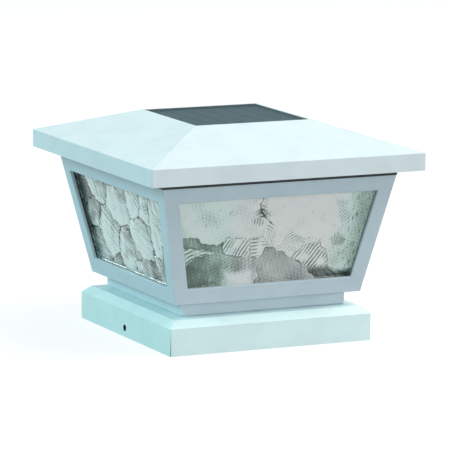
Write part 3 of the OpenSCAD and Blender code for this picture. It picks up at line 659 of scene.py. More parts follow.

# Long cells of the left pane, in the same way: outline, depth, tone as painted light and shade, grain's
# direction
LEFT_CELLS = [
    ([(-22, 59), (-11, 61), (-3, 57), (7, 54), (10, 47), (11, 40), (2, 37), (-9, 34), (-22, 37), (-27, 44),
      (-27, 52)],
     0.30, 0.86, -42),
    ([(-61, 64), (-38, 64), (-23, 60), (-26, 52), (-37, 44), (-50, 48), (-56, 56)], 0.40, 0.74, -46),
    ([(-60, 47), (-50, 48), (-39, 43), (-44, 34), (-48, 25), (-58, 27), (-65, 31), (-66, 37)],
     0.55, 0.60, -50),
    ([(-38, 44), (-29, 44), (-22, 37), (-11, 33), (-16, 22), (-22, 11), (-35, 5), (-44, 15), (-48, 25),
      (-44, 34)],
     0.30, 0.84, -44),
    ([(-10, 33), (3, 32), (5, 23), (6, 12), (11, 6), (-8, -2), (-17, 3), (-19, 12), (-16, 22)],
     0.42, 0.76, -40),
    ([(7, 64), (32, 64), (32, 57), (26, 46), (18, 40), (12, 42), (9, 50)], 0.34, 0.84, -44),
    ([(35, 66), (46, 66), (46, 53), (43, 42), (34, 44), (27, 47)], 0.40, 0.76, -52),
    ([(11, 40), (25, 44), (33, 41), (38, 31), (40, 22), (39, 15), (22, 15), (12, 22), (7, 30), (5, 36)],
     0.26, 0.88, -42),
    ([(49, 66), (72, 66), (66, 48), (58, 34), (52, 19), (43, 20), (41, 31), (43, 42), (44, 52)],
     0.36, 0.80, -50),
    ([(-74, 22), (-58, 25), (-48, 24), (-44, 15), (-35, 5), (-36, -4), (-78, -4)], 0.50, 0.66, -36),
    ([(6, 10), (21, 14), (39, 15), (52, 2), (50, -5), (10, -5)], 0.55, 0.58, -38),
    ([(-35, 5), (-22, 11), (-16, 3), (-7, -2), (4, -5), (-36, -5)], 0.60, 0.50, -30),
    ([(-80, 66), (-61, 64), (-56, 56), (-51, 48), (-60, 47), (-65, 42), (-78, 50)], 0.62, 0.46, -60),
    ([(40, 20), (52, 18), (60, 10), (62, -5), (50, -5), (44, 8)], 0.50, 0.62, -52),
]


def chipped(x, y, seed):
    """Depth in mm and tone of the front pane's face, the tone painted light and shade."""
    depth = 0.12 + 0.10 * ripple(x, y, 34.0, seed)
    tone = 0.80 + 0.05 * ripple(x, y, 26.0, seed + 1)
    jag_x, jag_y = 0.5 * ripple(x, y, 7.0, seed + 2), 0.4 * ripple(x, y, 6.0, seed + 3)
    broken = smooth(0.5 + 0.7 * ripple(x, y, 9.0, seed + 4))
    for number, (outline, level, shade, way, pitch, rib_depth, edge) in enumerate(FRONT_CHIPS):
        near = inside_distance(x + jag_x, y + jag_y, outline)
        within = smooth((near + 0.3) / 0.8) if edge else smooth((near + 2.0) / 6.0)
        low = level + 0.10 * ripple(x, y, 16.0, seed + 10 + number)
        grey = shade + 0.06 * ripple(x, y, 20.0, seed + 60 + number)
        if way is not None:
            comb, line = ribs(x, y, way, pitch, seed + 30 + number)
            held = smooth(0.85 + 0.6 * ripple(x, y, 11.0, seed + 90 + number)) * smooth((near + 0.4) / 2.4)
            low = low + rib_depth * comb * held
            # Painted shade in the foot of each rib.
            grey = grey + (0.12 * rib_depth - min(0.85, 2.3 * rib_depth) * line) * held
        depth = depth * (1 - within) + low * within
        tone = tone * (1 - within) + grey * within
        # Each chip's edge dips a little and is darkened with painted shade.
        rim_and_shade = edge * hump(near / 0.36) * (0.35 + 0.65 * broken)
        tone = tone - rim_and_shade * min(0.6, 0.08 + 0.9 * level)
        depth = depth + 0.20 * rim_and_shade
    # Fern: a crooked stem with barbs on both sides, sunk into the face and darkened with painted shade
    stem = [(-9.4, 64), (-11.6, 58.7), (-10.5, 53.8), (-8.1, 50.2), (-2.4, 45)]
    for (ax, ay), (bx, by) in zip(stem, stem[1:]):
        off = from_line(x, y, ax, ay, bx, by)
        barbs = hump(off / 4.2) * np.clip(np.sin((y + 0.55 * np.abs(x - ax)) * 2.4 + jag_x), 0, 1) * broken
        line = hump(off / 0.55) * (0.4 + 0.6 * broken)
        tone = tone - 0.95 * line - 0.55 * barbs
        depth = depth + 0.45 * line + 0.35 * barbs
    # Flecks along the right edge and scattered nicks, sunk into the face and darkened with painted shade,
    # then grain and streaks
    slanted = x - 0.12 * (y - 30)
    flecks = smooth(1.6 * ripple(x, y, 3.4, seed + 5, 9, (0.45, 2.2), -0.25) - 1.5)
    flecks = flecks * hump((slanted - 60) / 6.0)
    nicks = smooth((ripple(x, y, 3.4, seed + 8, stretch=(2.2, 0.7), turn=0.7) - 1.5) * 2)
    grain = ripple(x, y, 1.9, seed + 7, 11)
    streaks = ripple(x, y, 2.0, seed + 9, 11, (0.8, 5.0), 0.15)
    tone = tone - 0.50 * flecks - 0.20 * nicks + 0.045 * grain + 0.035 * streaks
    # The tone ends darker towards the right edge: painted shade.
    return depth + 0.5 * flecks + 0.2 * nicks + 0.03 * grain, tone - 0.16 * smooth((slanted - 54) / 10)


def celled(x, y, seed, cells):
    """Depth in mm and tone of a pane of long overlapping cells; the tone is painted light and shade, with
    painted shade in the creases and painted highlights on the lips.
    """
    depth = np.full(x.shape, 0.6)
    tone = np.full(x.shape, 0.60)
    grain = ripple(x, y, 1.9, seed + 6, 11)
    jag_x, jag_y = 0.9 * ripple(x, y, 8.0, seed + 1), 0.7 * ripple(x, y, 6.0, seed + 2)
    broken = smooth(0.55 + 0.6 * ripple(x, y, 10.0, seed + 3))
    for number, (outline, level, shade, slant) in enumerate(cells):
        near = inside_distance(x + jag_x, y + jag_y, outline) + 1.1
        within = smooth((near + 0.25) / 0.6)
        turn = math.radians(slant)
        corners = np.array(outline)
        cross = -corners[:, 0] * math.sin(turn) + corners[:, 1] * math.cos(turn)
        side = (-x * math.sin(turn) + y * math.cos(turn) - cross.mean()) / (np.ptp(cross) / 2)
        slope = np.clip(side, -1, 1)
        streaks = ripple(x, y, 1.7, seed + 20 + number, 15, (8.0, 0.8), turn + 0.1 * math.sin(number))
        comb = ribs(x, y, slant + 65, 2.3, seed + 40 + number)[0]
        comb = comb * smooth((ripple(x, y, 20.0, seed + 70 + number) + 0.1 - 0.3 * (number % 3)) * 2.5)
        # Each cell slopes across its width, and its tone follows: painted light on one side, painted shade on
        # the other.
        low = level + 0.30 * slope + 0.45 * np.exp(-np.clip(near, 0, None) / 2.2)
        low = low + 0.030 * streaks + 0.22 * comb + 0.010 * grain
        # The raised lip along each cell's edge gets a painted highlight.
        lip = hump((near - 0.9) / 0.55) * smooth(0.6 - side)
        grey = shade - 0.01 - 0.28 * slope + 0.20 * streaks + 0.03 * grain - 0.16 * comb + 0.25 * lip
        depth = depth * (1 - within) + (low - 0.12 * lip) * within
        tone = tone * (1 - within) + grey * within
        # Each crease is sunk and darkened with painted shade.
        crease_and_shade = hump((near - 0.05) / 0.5) * (0.55 + 0.45 * broken)
        tone = tone - (0.75 + 0.40 * smooth(side)) * crease_and_shade
        depth = depth + 0.35 * crease_and_shade
    # The tone ends darker towards the pane's left edge and its top: painted shade.
    return depth, tone - 0.30 * smooth((-x - 48 - 0.2 * y) / 10) - 0.25 * smooth((y - 66) / 8)


def feather_cells(seed, slant, long=46.0, wide=17.0):
    """Outlines of long pointed cells that overlap like scales, in a slanting pattern."""
    rng = np.random.default_rng(seed)
    c, s = math.cos(math.radians(slant)), math.sin(math.radians(slant))
    cells = []
    for j in range(-7, 8):
        for i in range(-3, 4):
            middle_a = (i + 0.5 * (j % 2) + rng.uniform(-0.12, 0.12)) * long
            middle_b = (j + rng.uniform(-0.16, 0.16)) * wide * 0.62
            outline = []
            for step in range(14):
                angle = 2 * math.pi * step / 14
                reach = 1.0 + rng.uniform(-0.10, 0.10)
                pointed = math.copysign(abs(math.cos(angle)) ** 1.35, math.cos(angle))
                a = middle_a + 0.56 * long * reach * pointed
                b = middle_b + 0.60 * wide * reach * math.sin(angle)
                outline.append((a * c - b * s, a * s + b * c + 30))
            level, shade = rng.uniform(0.25, 0.6), rng.uniform(0.56, 0.90)
            if all(abs(px) < 110 and abs(py - 30) < 75 for px, py in outline):
                cells.append((outline, level, shade, slant + rng.uniform(-6, 6)))
    return cells


# Colour and clearness follow the tone attribute, which is painted light and shade.
textured_glass, shader, here = new_look("textured glass")
tone = got(here.tree, "ShaderNodeAttribute", out="Fac", attribute_name="tone")
green = got(here.tree, "ShaderNodeAttribute", out="Fac", attribute_name="green")
mottle = tone + span(speckle(here, 420.0), -0.06, 0.06)
neutral = ramp(mottle, (0.0, (0.02, 0.022, 0.024)), (0.25, (0.22, 0.23, 0.23)), (0.5, (0.62, 0.63, 0.62)),
               (0.75, (0.95, 0.94, 0.92)), (0.9, (1.0, 0.97, 0.945)))
bottle = ramp(mottle, (0.0, (0.01, 0.03, 0.022)), (0.25, (0.14, 0.24, 0.20)), (0.5, (0.44, 0.60, 0.53)),
              (0.75, (0.78, 0.95, 0.88)), (0.88, (0.90, 1.0, 0.95)))
join(shader, {
    "Base Color": blend(green, neutral, bottle), "Transmission Weight": span(tone, 0.75, 0.18, 0.3, 0.85),
    "Roughness": span(tone, 0.04, 0.22), "IOR": 1.5,
})


def pane(node, side, face, edge_green=0.0):
    """A pane in the CAD pane's own outline, with its outer face in relief."""
    turn = math.radians(90 * side)
    across = np.array((math.cos(turn), math.sin(turn), 0))
    flat_out = np.array((math.sin(turn), -math.cos(turn), 0))
    up = flat_out * math.sin(TAPER) + np.array((0, 0, math.cos(TAPER)))
    out = flat_out * math.cos(TAPER) - np.array((0, 0, math.sin(TAPER)))
    cad = np.array([v.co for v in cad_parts[node].data.vertices])
    px, py, pz = cad @ across, cad @ up, cad @ out
    low, high, front, back = py.min(), py.max(), pz.max(), pz.min()
    half_low, half_high = px[py < low + MM / 2].max(), px[py > high - MM / 2].max()
    columns, rows = round(2 * half_high / GRID), round((high - low) / GRID)
    s, t = np.meshgrid(np.linspace(-1, 1, columns + 1), np.linspace(0, 1, rows + 1))
    half = half_low + (half_high - half_low) * t
    x, y = s * half, t * (high - low)
    depth, tone = face(x / MM, y / MM)
    margin = np.minimum(np.minimum(y, high - low - y), half - np.abs(x)) / MM
    fade = smooth((margin - FLAT_EDGE[0]) / (FLAT_EDGE[1] - FLAT_EDGE[0]))
    z = front - np.clip(depth, 0, DEEPEST) * fade * MM
    points = x[..., None] * across + (y + low)[..., None] * up + z[..., None] * out
    corners = [x * across + y * up + back * out
               for x, y in ((-half_low, low), (half_low, low), (half_high, high), (-half_high, high))]
    count = (columns + 1) * (rows + 1)
    net = np.arange(count).reshape(rows + 1, columns + 1)
    quads = np.stack((net[:-1, :-1], net[:-1, 1:], net[1:, 1:], net[1:, :-1]), -1).reshape(-1, 4).tolist()
    edges = [net[0].tolist(), net[:, -1].tolist(), net[-1, ::-1].tolist(), net[::-1, 0].tolist()]
    for number, edge in enumerate(edges):
        quads.append([count + number, count + (number + 1) % 4] + edge[::-1])
    quads.append([count + 3, count + 2, count + 1, count])
    piece = bpy.data.objects.new("glass_" + node, bpy.data.meshes.new("glass_" + node))
    piece.data.from_pydata(np.concatenate((points.reshape(-1, 3), corners)).tolist(), [], quads)
    green = GREEN_LEAST + edge_green * smooth((np.abs(x / MM - GREYEST) - GREEN_FROM) / GREEN_FADE)
    for name, values in (("tone", np.clip(tone, 0, 1)), ("green", green)):
        values = np.append(values.ravel(), [BACK_TONE] * 4).astype(np.float32)
        piece.data.attributes.new(name, "FLOAT", "POINT").data.foreach_set("value", values)
    crisp(piece.data, 60)
    piece.data.materials.append(textured_glass)
    hand_over(piece, "base", "pane_glass", node)


pane("pane_front", 0, lambda x, y: chipped(x, y, 11), 0.8)
pane("pane_right", 1, lambda x, y: celled(x, y, 23, feather_cells(24, -38)))
pane("pane_back", 2, lambda x, y: celled(x, y, 37, feather_cells(38, 44)))
pane("pane_left", 3, lambda x, y: celled(x, y, 51, LEFT_CELLS))


# ---- Pane clips ----
# Sixteen clips bent from stainless sheet, four to a pane: each has a foot under its screw, a
# tongue over the edge of the glass and a lip bent up at the end. One screw holds each.
clip_tree, given = new_tree("bent clip", "width", "sheet", "foot", "tongue", "lip", "bend_r", "hole_r")
half_sheet = given.sheet * 0.5
corner = got(clip_tree, "GeometryNodeInputIndex")
line = reshaped(
    got(clip_tree, "GeometryNodeMeshLine", {"Count": 3}),
    y=span(corner, given.foot * -1.0, given.tongue - half_sheet, 0, 1),
    z=span(corner, half_sheet, given.sheet + given.lip, 1, 2),
)
line = got(clip_tree, "GeometryNodeMeshToCurve", {"Mesh": line})
bend = {"Curve": line, "Count": 6, "Radius": given.bend_r, "Limit Radius": True}
line = got(clip_tree, "GeometryNodeFilletCurve", bend, mode="POLY")
sockets = {"Width": given.width, "Height": given.sheet}
strip = got(clip_tree, "GeometryNodeCurvePrimitiveQuadrilateral", sockets)
DRILL_L = 10 * MM
stand(clip_tree, given, cut(swept(line, strip), [cylinder(clip_tree, 24, given.hole_r, DRILL_L)]))

sheet_steel, shader, here = new_look("brushed sheet steel", (90, 90, 2600))
brushed = speckle(here, 1.0, 2.0)
join(shader, {
    "Base Color": ramp(brushed, (0.3, (0.46, 0.47, 0.48)), (0.7, (0.64, 0.65, 0.66))),
    "Roughness": span(brushed, 0.26, 0.42),
    "Normal": raised(brushed, 0.02, 0.4),
    **METAL,
})

CLIP_BOSS = 2.6         # radius of the boss under a clip, mm
CLIP_TONGUE = 4.4       # reach of the tongue from the screw, mm


def wall_facing(part):
    """Inward normal of the lantern's wall that a clip or its screw is on."""
    x, y = (part.min(0) + part.max(0))[:2]
    side = round(math.atan2(y, x) / (math.pi / 2)) * math.pi / 2
    return Vector((-math.cos(side) * math.cos(TAPER), -math.sin(side) * math.cos(TAPER), math.sin(TAPER)))


def clip_place(part):
    """A clip's place: Z into the lantern, Y along the tongue, at the screw's hole."""
    inward = wall_facing(part)
    up = (Vector((0, 0, 1)) - inward * inward.z).normalized()
    low = (part[:, 2].min() + part[:, 2].max()) / 2 < LANTERN_MIDDLE
    place = standing(part, inward, up if low else -up)
    return place @ Matrix.Translation((0, (CLIP_BOSS - CLIP_TONGUE) / 2 * MM, 0))


LANTERN_MIDDLE = (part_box("pane_clips")[0][2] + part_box("pane_clips")[1][2]) / 2
clip_places = [clip_place(part) for part in loose_parts("pane_clips")]
grow("bent_clips", clip_places, clip_tree, "base", "clip_steel", "pane_clips", width=10.0, sheet=0.8,
     foot=CLIP_BOSS, tongue=CLIP_TONGUE, lip=0.6, bend_r=0.8, hole_r=1.6, finish=sheet_steel)
screws("clip_screws", "base", SMALL_SCREW, lambda part: -wall_facing(part))


# ---- Eave strip ----
# A strip of the same black rubber, pressed into a groove round the top of the lantern's
# walls and flush with them: a dark sheet that stands in for the shade under the roof. It shows as a thin dark
# line under the front of the roof.
finish_node("eave_strip", rubber)


# ---- Roof screws and roof gasket ----
# Four plated screws come up through the lantern's flange into the roof's corner bosses. A
# square of black closed-cell foam, stuck under the roof, keeps the rain out of the joint.
screws("roof_screws", "base", (1.6, 2.9, 1.9), UP, 1.2)

foam, shader, here = new_look("black foam")
pores = got(here.tree, "ShaderNodeTexVoronoi", {"Vector": here, "Scale": 1500.0}, "Distance")
join(shader, {
    "Base Color": ramp(pores, (0.1, (0.014, 0.015, 0.016)), (0.7, (0.045, 0.047, 0.05))),
    "Roughness": span(pores, 0.95, 0.8),
    "Normal": raised(pores, 0.1, 0.7),
})
eased("foam_gasket", "roof_gasket", "roof", "black_rubber", foam, 0.35, 5)


# ---- Roof cap ----
# Low hipped casting of aluminium with an upright fascia, a flat seat for the solar panel,
# and ribs and bosses inside. The same white coat, thicker on its edges, in a tint darker than the base's:
# painted shade.
eased("cast_roof_cap", "roof_cap", "roof", "coat",
      powder_coat("white coat of the roof", (0.68, 0.75, 0.775)), 0.8, CAST_SHORTEST)


# ---- Solar panel ----
# A laminate: a black backing board, two rows of dark cells with tinned ribbons, and a matt
# plastic cover. It is bedded in the roof's seat, in a thin bead of black sealant.
backing, shader, here = new_look("black backing board")
join(shader, {
    "Base Color": got(here.tree, "ShaderNodeTexBrick", {
        "Vector": here, "Scale": 900.0, "Color1": (0.018, 0.02, 0.022, 1),
        "Color2": (0.026, 0.028, 0.03, 1), "Mortar": (0.012, 0.013, 0.014, 1)}, "Color"),
    "Roughness": span(speckle(here, 300.0), 0.45, 0.65),
})
finish_node("solar_backing", backing)

CELL_COLUMNS, CELL_ROWS, CELL_GAP, CELL_T = 6, 2, 0.8, 0.25
(cells_x, cells_y, cells_z), cells_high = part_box("solar_cells")
step_x = (cells_high[0] - cells_x + CELL_GAP * MM) / CELL_COLUMNS
step_y = (cells_high[1] - cells_y + CELL_GAP * MM) / CELL_ROWS
cell_x, cell_y = step_x / MM - CELL_GAP, step_y / MM - CELL_GAP
first = Vector((cells_x + cell_x / 2 * MM, cells_y + cell_y / 2 * MM, cells_z))
cell_centres = [Matrix.Translation(first + Vector((i * step_x, j * step_y, 0)))
                for j in range(CELL_ROWS) for i in range(CELL_COLUMNS)]

slab_tree, given = new_tree("row of slabs", "size_x", "size_y", "size_z")
slab = at(slab_tree, given.size_x, given.size_y, given.size_z)
slab = got(slab_tree, "GeometryNodeMeshCube", {"Size": slab})
stand(slab_tree, given, lifted(slab, given.size_z * 0.5))

silicon, shader, here = new_look("silicon cells")
crystals = got(here.tree, "ShaderNodeTexVoronoi", {"Vector": here, "Scale": 160.0}, "Color")
crystals = got(here.tree, "ShaderNodeRGBToBW", {0: crystals})
fingers = got(here.tree, "ShaderNodeTexWave", {"Vector": here, "Scale": 130.0}, "Fac", bands_direction="Y")
shade = ramp(crystals, (0.2, (0.010, 0.032, 0.042)), (0.8, (0.018, 0.046, 0.058)))
join(shader, {
    "Base Color": blend(span(fingers, 0.0, 0.25, 0.93, 1.0), shade, (0.10, 0.14, 0.15, 1)),
    "Roughness": span(crystals, 0.5, 0.62), "Specular IOR Level": 0.15,
})
grow("wafers", cell_centres, slab_tree, "roof", "silicon", "solar_cells",
     size_x=cell_x, size_y=cell_y, size_z=CELL_T, finish=silicon)

tinned = plain_look("tinned copper", 500.0, (0.58, 0.58, 0.56), (0.74, 0.74, 0.72),
                    (800.0, 0.30, 0.5), METAL)
ribbon = plain_look("dark tinned ribbon", 500.0, (0.035, 0.065, 0.075), (0.055, 0.09, 0.10),
                    (800.0, 0.5, 0.65), {"Specular IOR Level": 0.2})
RIBBON_OFF, RIBBON_W, RIBBON_T = 3.2, 0.5, 0.04
ribbon_places = [centre @ Matrix.Translation((side * RIBBON_OFF * MM, 0, CELL_T * MM))
                 for centre in cell_centres for side in (-1, 1)]
grow("cell_ribbons", ribbon_places, slab_tree, "roof", "contact_metal",
     size_x=RIBBON_W, size_y=cell_y, size_z=RIBBON_T, finish=ribbon)

cover = plain_look("satin clear cover", 60.0, (0.045, 0.12, 0.15), (0.062, 0.145, 0.175),
                   (200.0, 0.40, 0.52), {"Alpha": 0.3, "Specular IOR Level": 0.2}, (1400.0, 1.0, 0.03, 0.5))
eased("panel_cover", "solar_glass", "roof", "panel_cover", cover, 0.2, 5)
sealant = plain_look("black sealant", 180.0, (0.016, 0.018, 0.02), (0.03, 0.032, 0.035), (350.0, 0.28, 0.5),
                     grain=(120.0, 3.0, 0.2, 0.5))
eased("sealant_bead", "panel_seal", "roof", "sealant", sealant, 0.3, 5)


# ---- Module case ----
# A moulded box of white plastic screwed up to four bosses under the roof, with a bay for the
# cell, a hole for the lens and a slot for the switch. Its four screws go through side ears.
white_plastic = plain_look("moulded white plastic", 90.0, (0.70, 0.71, 0.70), (0.77, 0.78, 0.77),
                           (220.0, 0.40, 0.52), grain=(1600.0, 1.0, 0.03, 0.4))
eased("moulded_case", "module_case", "roof", "white_plastic", white_plastic, 0.5, 8)
screws("module_screws", "roof", SMALL_SCREW, UP)


# ---- Circuit board and the parts on it ----
# A green board on two pegs and two screw posts. It carries a controller chip on its top, and a
# can capacitor and a wound coil below. Solder fillets stand where the leads come through.
board, shader, here = new_look("green solder mask")
tracks = add(here.tree, "ShaderNodeTexBrick", {
    "Vector": here, "Scale": 100.0, "Mortar Size": 0.016, "Brick Width": 0.9, "Row Height": 0.16,
    "Color1": (0.012, 0.11, 0.045, 1), "Color2": (0.016, 0.13, 0.055, 1), "Mortar": (0.04, 0.23, 0.10, 1),
}, offset=0.35, squash=0.6, squash_frequency=3).outputs
join(shader, {
    "Base Color": Flow(tracks["Color"]),
    "Normal": raised(Flow(tracks["Fac"]), 0.06, 0.6),
    "Roughness": span(speckle(here, 260.0), 0.22, 0.36),
})
finish_node("circuit_board", board)
screws("board_screws", "roof", SMALL_SCREW, DOWN)


def turned(shape, place, outline, steps=40):
    """Adds a shape turned about a place's Z. Each row of its outline is radius and height in mm,
    and the number of the material up to the next row where that isn't the first material."""
    rings = []
    for r, z, *_ in outline:
        angles = [2 * math.pi * k / steps for k in range(steps)] if r else [0]
        points = [Vector((r * math.cos(a), r * math.sin(a), z)) for a in angles]
        rings.append([shape.verts.new(place @ point) for point in points])
    for (low, high), row in zip(zip(rings, rings[1:]), outline):
        for k in range(steps):
            n = (k + 1) % steps
            corners = (low[k % len(low)], low[n % len(low)], high[n % len(high)], high[k % len(high)])
            shape.faces.new(list(dict.fromkeys(corners))).material_index = row[2] if row[2:] else 0


def slab_between(shape, low, high):
    """Adds a block between two corners, in mm."""
    points = [shape.verts.new(Vector((x, y, z)) * MM) for z in (low[2], high[2])
              for y in (low[1], high[1]) for x in (low[0], high[0])]
    for face in ((0, 2, 3, 1), (4, 5, 7, 6), (0, 1, 5, 4), (2, 6, 7, 3), (0, 4, 6, 2), (1, 3, 7, 5)):
        shape.faces.new([points[i] for i in face])


def made(name, shape, looks, body, slot, *nodes, ease=0.0):
    """Makes a mesh a finished piece, with its sharp edges eased by a radius in mm."""
    bmesh.ops.recalc_face_normals(shape, faces=shape.faces)
    if ease:
        edges = [e for e in shape.edges if e.calc_face_angle(0) > math.radians(60)]
        bmesh.ops.bevel(shape, geom=edges, offset=ease * MM, segments=2, profile=0.5,
                        affect="EDGES", clamp_overlap=True)
    piece = bpy.data.objects.new(name, bpy.data.meshes.new(name))
    shape.to_mesh(piece.data)
    shape.free()
    for look in looks:
        piece.data.materials.append(look)
    crisp(piece.data)
    hand_over(piece, body, slot, *nodes)


def at_mm(x, y, z, turn=Matrix()):
    """A place in mm for a turned shape."""
    return Matrix.Translation((x * MM, y * MM, z * MM)) @ turn @ Matrix.Scale(MM, 4)


board_low, board_high = [corner[2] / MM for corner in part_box("circuit_board")]
black_plastic = plain_look("black plastic", 300.0, (0.02, 0.021, 0.022), (0.04, 0.041, 0.043),
                           (500.0, 0.42, 0.6), grain=(1500.0, 1.0, 0.03, 0.5))
aluminium = plain_look("drawn aluminium", 1.0, (0.60, 0.60, 0.60), (0.74, 0.74, 0.74),
                       (1.0, 0.26, 0.4), METAL, stretch=(500, 500, 4000))
copper = plain_look("enamelled copper", 900.0, (0.50, 0.17, 0.06), (0.66, 0.26, 0.10),
                    (700.0, 0.2, 0.34), METAL)

CHIP_LOW, CHIP_HIGH = (8, -6, board_high + 0.15), (13, -2, board_high + 1.5)
CAN_AT, CAN_R, CAN_H = (17, -17), 3.1, 7.0
COIL_AT, COIL_R, COIL_H, COIL_CORE = (17, -6), 3.6, 4.0, 2.3
UPSIDE_DOWN = Matrix.Rotation(math.pi, 4, "X")
parts = bmesh.new()
slab_between(parts, CHIP_LOW, CHIP_HIGH)
turned(parts, at_mm(*CAN_AT, board_low, UPSIDE_DOWN), [
    (0, 0), (CAN_R - 0.3, 0), (CAN_R, 0.4), (CAN_R, 1.2), (CAN_R - 0.35, 1.6), (CAN_R, 2.0),
    (CAN_R, CAN_H - 0.35), (CAN_R - 0.35, CAN_H, 1), (CAN_R - 0.7, CAN_H, 1),
    (CAN_R - 0.8, CAN_H - 0.15, 1), (0, CAN_H - 0.15, 1)])
turned(parts, at_mm(*COIL_AT, board_low, UPSIDE_DOWN), [
    (0, 0), (COIL_R, 0), (COIL_R, 0.6), (COIL_CORE, 0.6), (COIL_CORE, COIL_H - 0.6),
    (COIL_R, COIL_H - 0.6), (COIL_R, COIL_H), (0, COIL_H)])
made("chip_can_and_core", parts, [black_plastic, aluminium], "roof", "black_plastic", "board_parts",
     ease=0.12)

LEG_OUT = 0.35
legs = [at_mm(x, y, board_high)
        for y in (CHIP_LOW[1] - LEG_OUT, CHIP_HIGH[1] + LEG_OUT) for x in (8.7, 9.9, 11.1, 12.3)]
grow("chip_legs", legs, slab_tree, "roof", "contact_metal",
     size_x=0.4, size_y=0.9, size_z=0.3, finish=tinned)

spiral_tree, given = new_tree("wound wire", "foot_r", "tip_r", "length", "wire_r", turns="Float", steps="Int")
wound = got(spiral_tree, "GeometryNodeCurveSpiral", {
    "Resolution": given.steps, "Rotations": given.turns, "Start Radius": given.foot_r,
    "End Radius": given.tip_r, "Height": given.length})
stand(spiral_tree, given, swept(wound, circle(spiral_tree, 8, given.wire_r)))
coil_foot = at_mm(*COIL_AT, board_low - COIL_H + 0.8)
for number, r in enumerate((COIL_CORE + 0.2, COIL_CORE + 0.55, COIL_CORE + 0.9)):
    grow("coil_layer_%d" % number, [coil_foot], spiral_tree, "roof", "contact_metal",
         turns=6.5, foot_r=r, tip_r=r, length=2.4, wire_r=0.19, steps=20, finish=copper)

solder_tree, given = new_tree("solder fillets", "foot_r", "height")
x, y, z = coordinates(got(solder_tree, "GeometryNodeInputPosition"))
share = z / given.height
waist = 1.0 - share.step("SQRT", share) * 0.6
fillet = lifted(cylinder(solder_tree, 12, given.foot_r, given.height, 4), given.height * 0.5)
stand(solder_tree, given, reshaped(fillet, x * waist, y * waist, z))
LED_RING, LED_PITCH, LENS_AT = 4.6, 2.54, (0, -13)
pads = [(-1.6, -20), (1.6, -20), (-25, -14), (-22.5, -14), (-20, -14), (15.8, -17), (18.2, -17),
        (15, -6), (19, -6), (28.75, 16.75), (-28.75, 16.75)]
for i in range(3):
    a = math.radians(120 * i - 90)
    for side in (-LED_PITCH / 2, LED_PITCH / 2):
        pads.append((LENS_AT[0] + LED_RING * math.cos(a) - side * math.sin(a),
                     LENS_AT[1] + LED_RING * math.sin(a) + side * math.cos(a)))
grow("solder_fillets", [at_mm(x, y, board_high) for x, y in pads], solder_tree, "roof", "contact_metal",
     foot_r=0.95, height=0.55, finish=tinned)


# ---- Panel leads ----
# Two short insulated wires, red and black, soldered to the board and to the panel's backing.
# They come up through the round hole in the roof's seat, each in a slight bow.
insulation, shader, here = new_look("red and black insulation")
right = span(coordinates(here)[0], 0.0, 1.0, -0.1 * MM, 0.1 * MM)
red = ramp(speckle(here, 600.0), (0.3, (0.42, 0.02, 0.016)), (0.7, (0.55, 0.035, 0.025)))
join(shader, {
    "Base Color": blend(right, (0.018, 0.018, 0.02, 1), red),
    "Roughness": span(speckle(here, 400.0), 0.30, 0.42),
})

LEAD_POINTS = 9
lead_tree, given = new_tree("bowed leads", "length", "wire_r", "bow")
share = got(lead_tree, "GeometryNodeInputIndex") / (LEAD_POINTS - 1.0)
half_turn = share * math.pi
lead = got(lead_tree, "GeometryNodeMeshLine", {"Count": LEAD_POINTS}, mode="OFFSET")
lead = reshaped(lead, y=half_turn.step("SINE", half_turn) * given.bow, z=share * given.length)
lead = got(lead_tree, "GeometryNodeMeshToCurve", {"Mesh": lead})
stand(lead_tree, given, swept(lead, circle(lead_tree, 14, given.wire_r)))


def leads(name, node, slot, look, wire_r, bow):
    """Wires where the CAD's stand."""
    low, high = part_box(node)
    grow(name, [standing(part, UP, (0, 1, 0)) for part in loose_parts(node)], lead_tree, "roof", slot, node,
         length=(high[2] - low[2]) / MM, wire_r=wire_r, bow=bow, finish=look)


leads("panel_wires", "panel_leads", "lead_red", insulation, 0.78, 0.35)


# ---- Lights and lens ----
# Three warm white light-emitting diodes with domed clear resin look down into the lens. The
# lens is a moulded dome of frosted plastic, with fine prism rings inside.
resin = plain_look("clear resin", 300.0, (0.90, 0.86, 0.62), (0.96, 0.93, 0.76), (500.0, 0.06, 0.14),
                   {"Transmission Weight": 0.55})
LED_R, LED_FLANGE, LED_H = 2.5, 2.9, 6.1
diodes = bmesh.new()
slopes = [math.radians(degrees) for degrees in range(0, 90, 10)]
dome = [(LED_R * math.cos(a), LED_H - 0.01 + LED_R * math.sin(a)) for a in slopes]
for part in loose_parts("leds"):
    turned(diodes, standing(part, DOWN) @ Matrix.Scale(MM, 4), [
        (0, 0), (LED_FLANGE, 0), (LED_FLANGE, 0.9), (LED_FLANGE - 0.1, 1.0), (LED_R, 1.0),
        *dome, (0, LED_H + LED_R)], 32)
made("domed_diodes", diodes, [resin], "roof", "led_resin", "leds")

frosted = plain_look("frosted lens", 200.0, (0.88, 0.90, 0.88), (0.95, 0.96, 0.94), (900.0, 0.28, 0.42),
                     {"Transmission Weight": 0.4})
lens_low, lens_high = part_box("led_lens")
LENS_R, LENS_T, LENS_FLANGE = 11.8, 1.5, (lens_high[0] - lens_low[0]) / 2 / MM
PRISMS, HUB_R = 7, 0.6
lens_foot, lens_top = lens_low[2] / MM, lens_high[2] / MM
lens_seat = lens_top - LENS_T
lens_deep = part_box("module_case")[0][2] / MM - lens_foot
ball = (LENS_R ** 2 + lens_deep ** 2) / (2 * lens_deep)
outer = [(r, lens_foot + ball - math.sqrt(ball ** 2 - r ** 2)) for r in np.linspace(0, LENS_R, 16)]
inner = []
step = (LENS_R - LENS_T - HUB_R) / PRISMS
for i in range(PRISMS):
    r = HUB_R + step * (PRISMS - i)
    z = lens_foot + ball - math.sqrt((ball - LENS_T) ** 2 - r ** 2)
    inner += [(r, z), (r - 0.15, z + 0.35), (r - step + 0.05, z - 0.1)]
lens = bmesh.new()
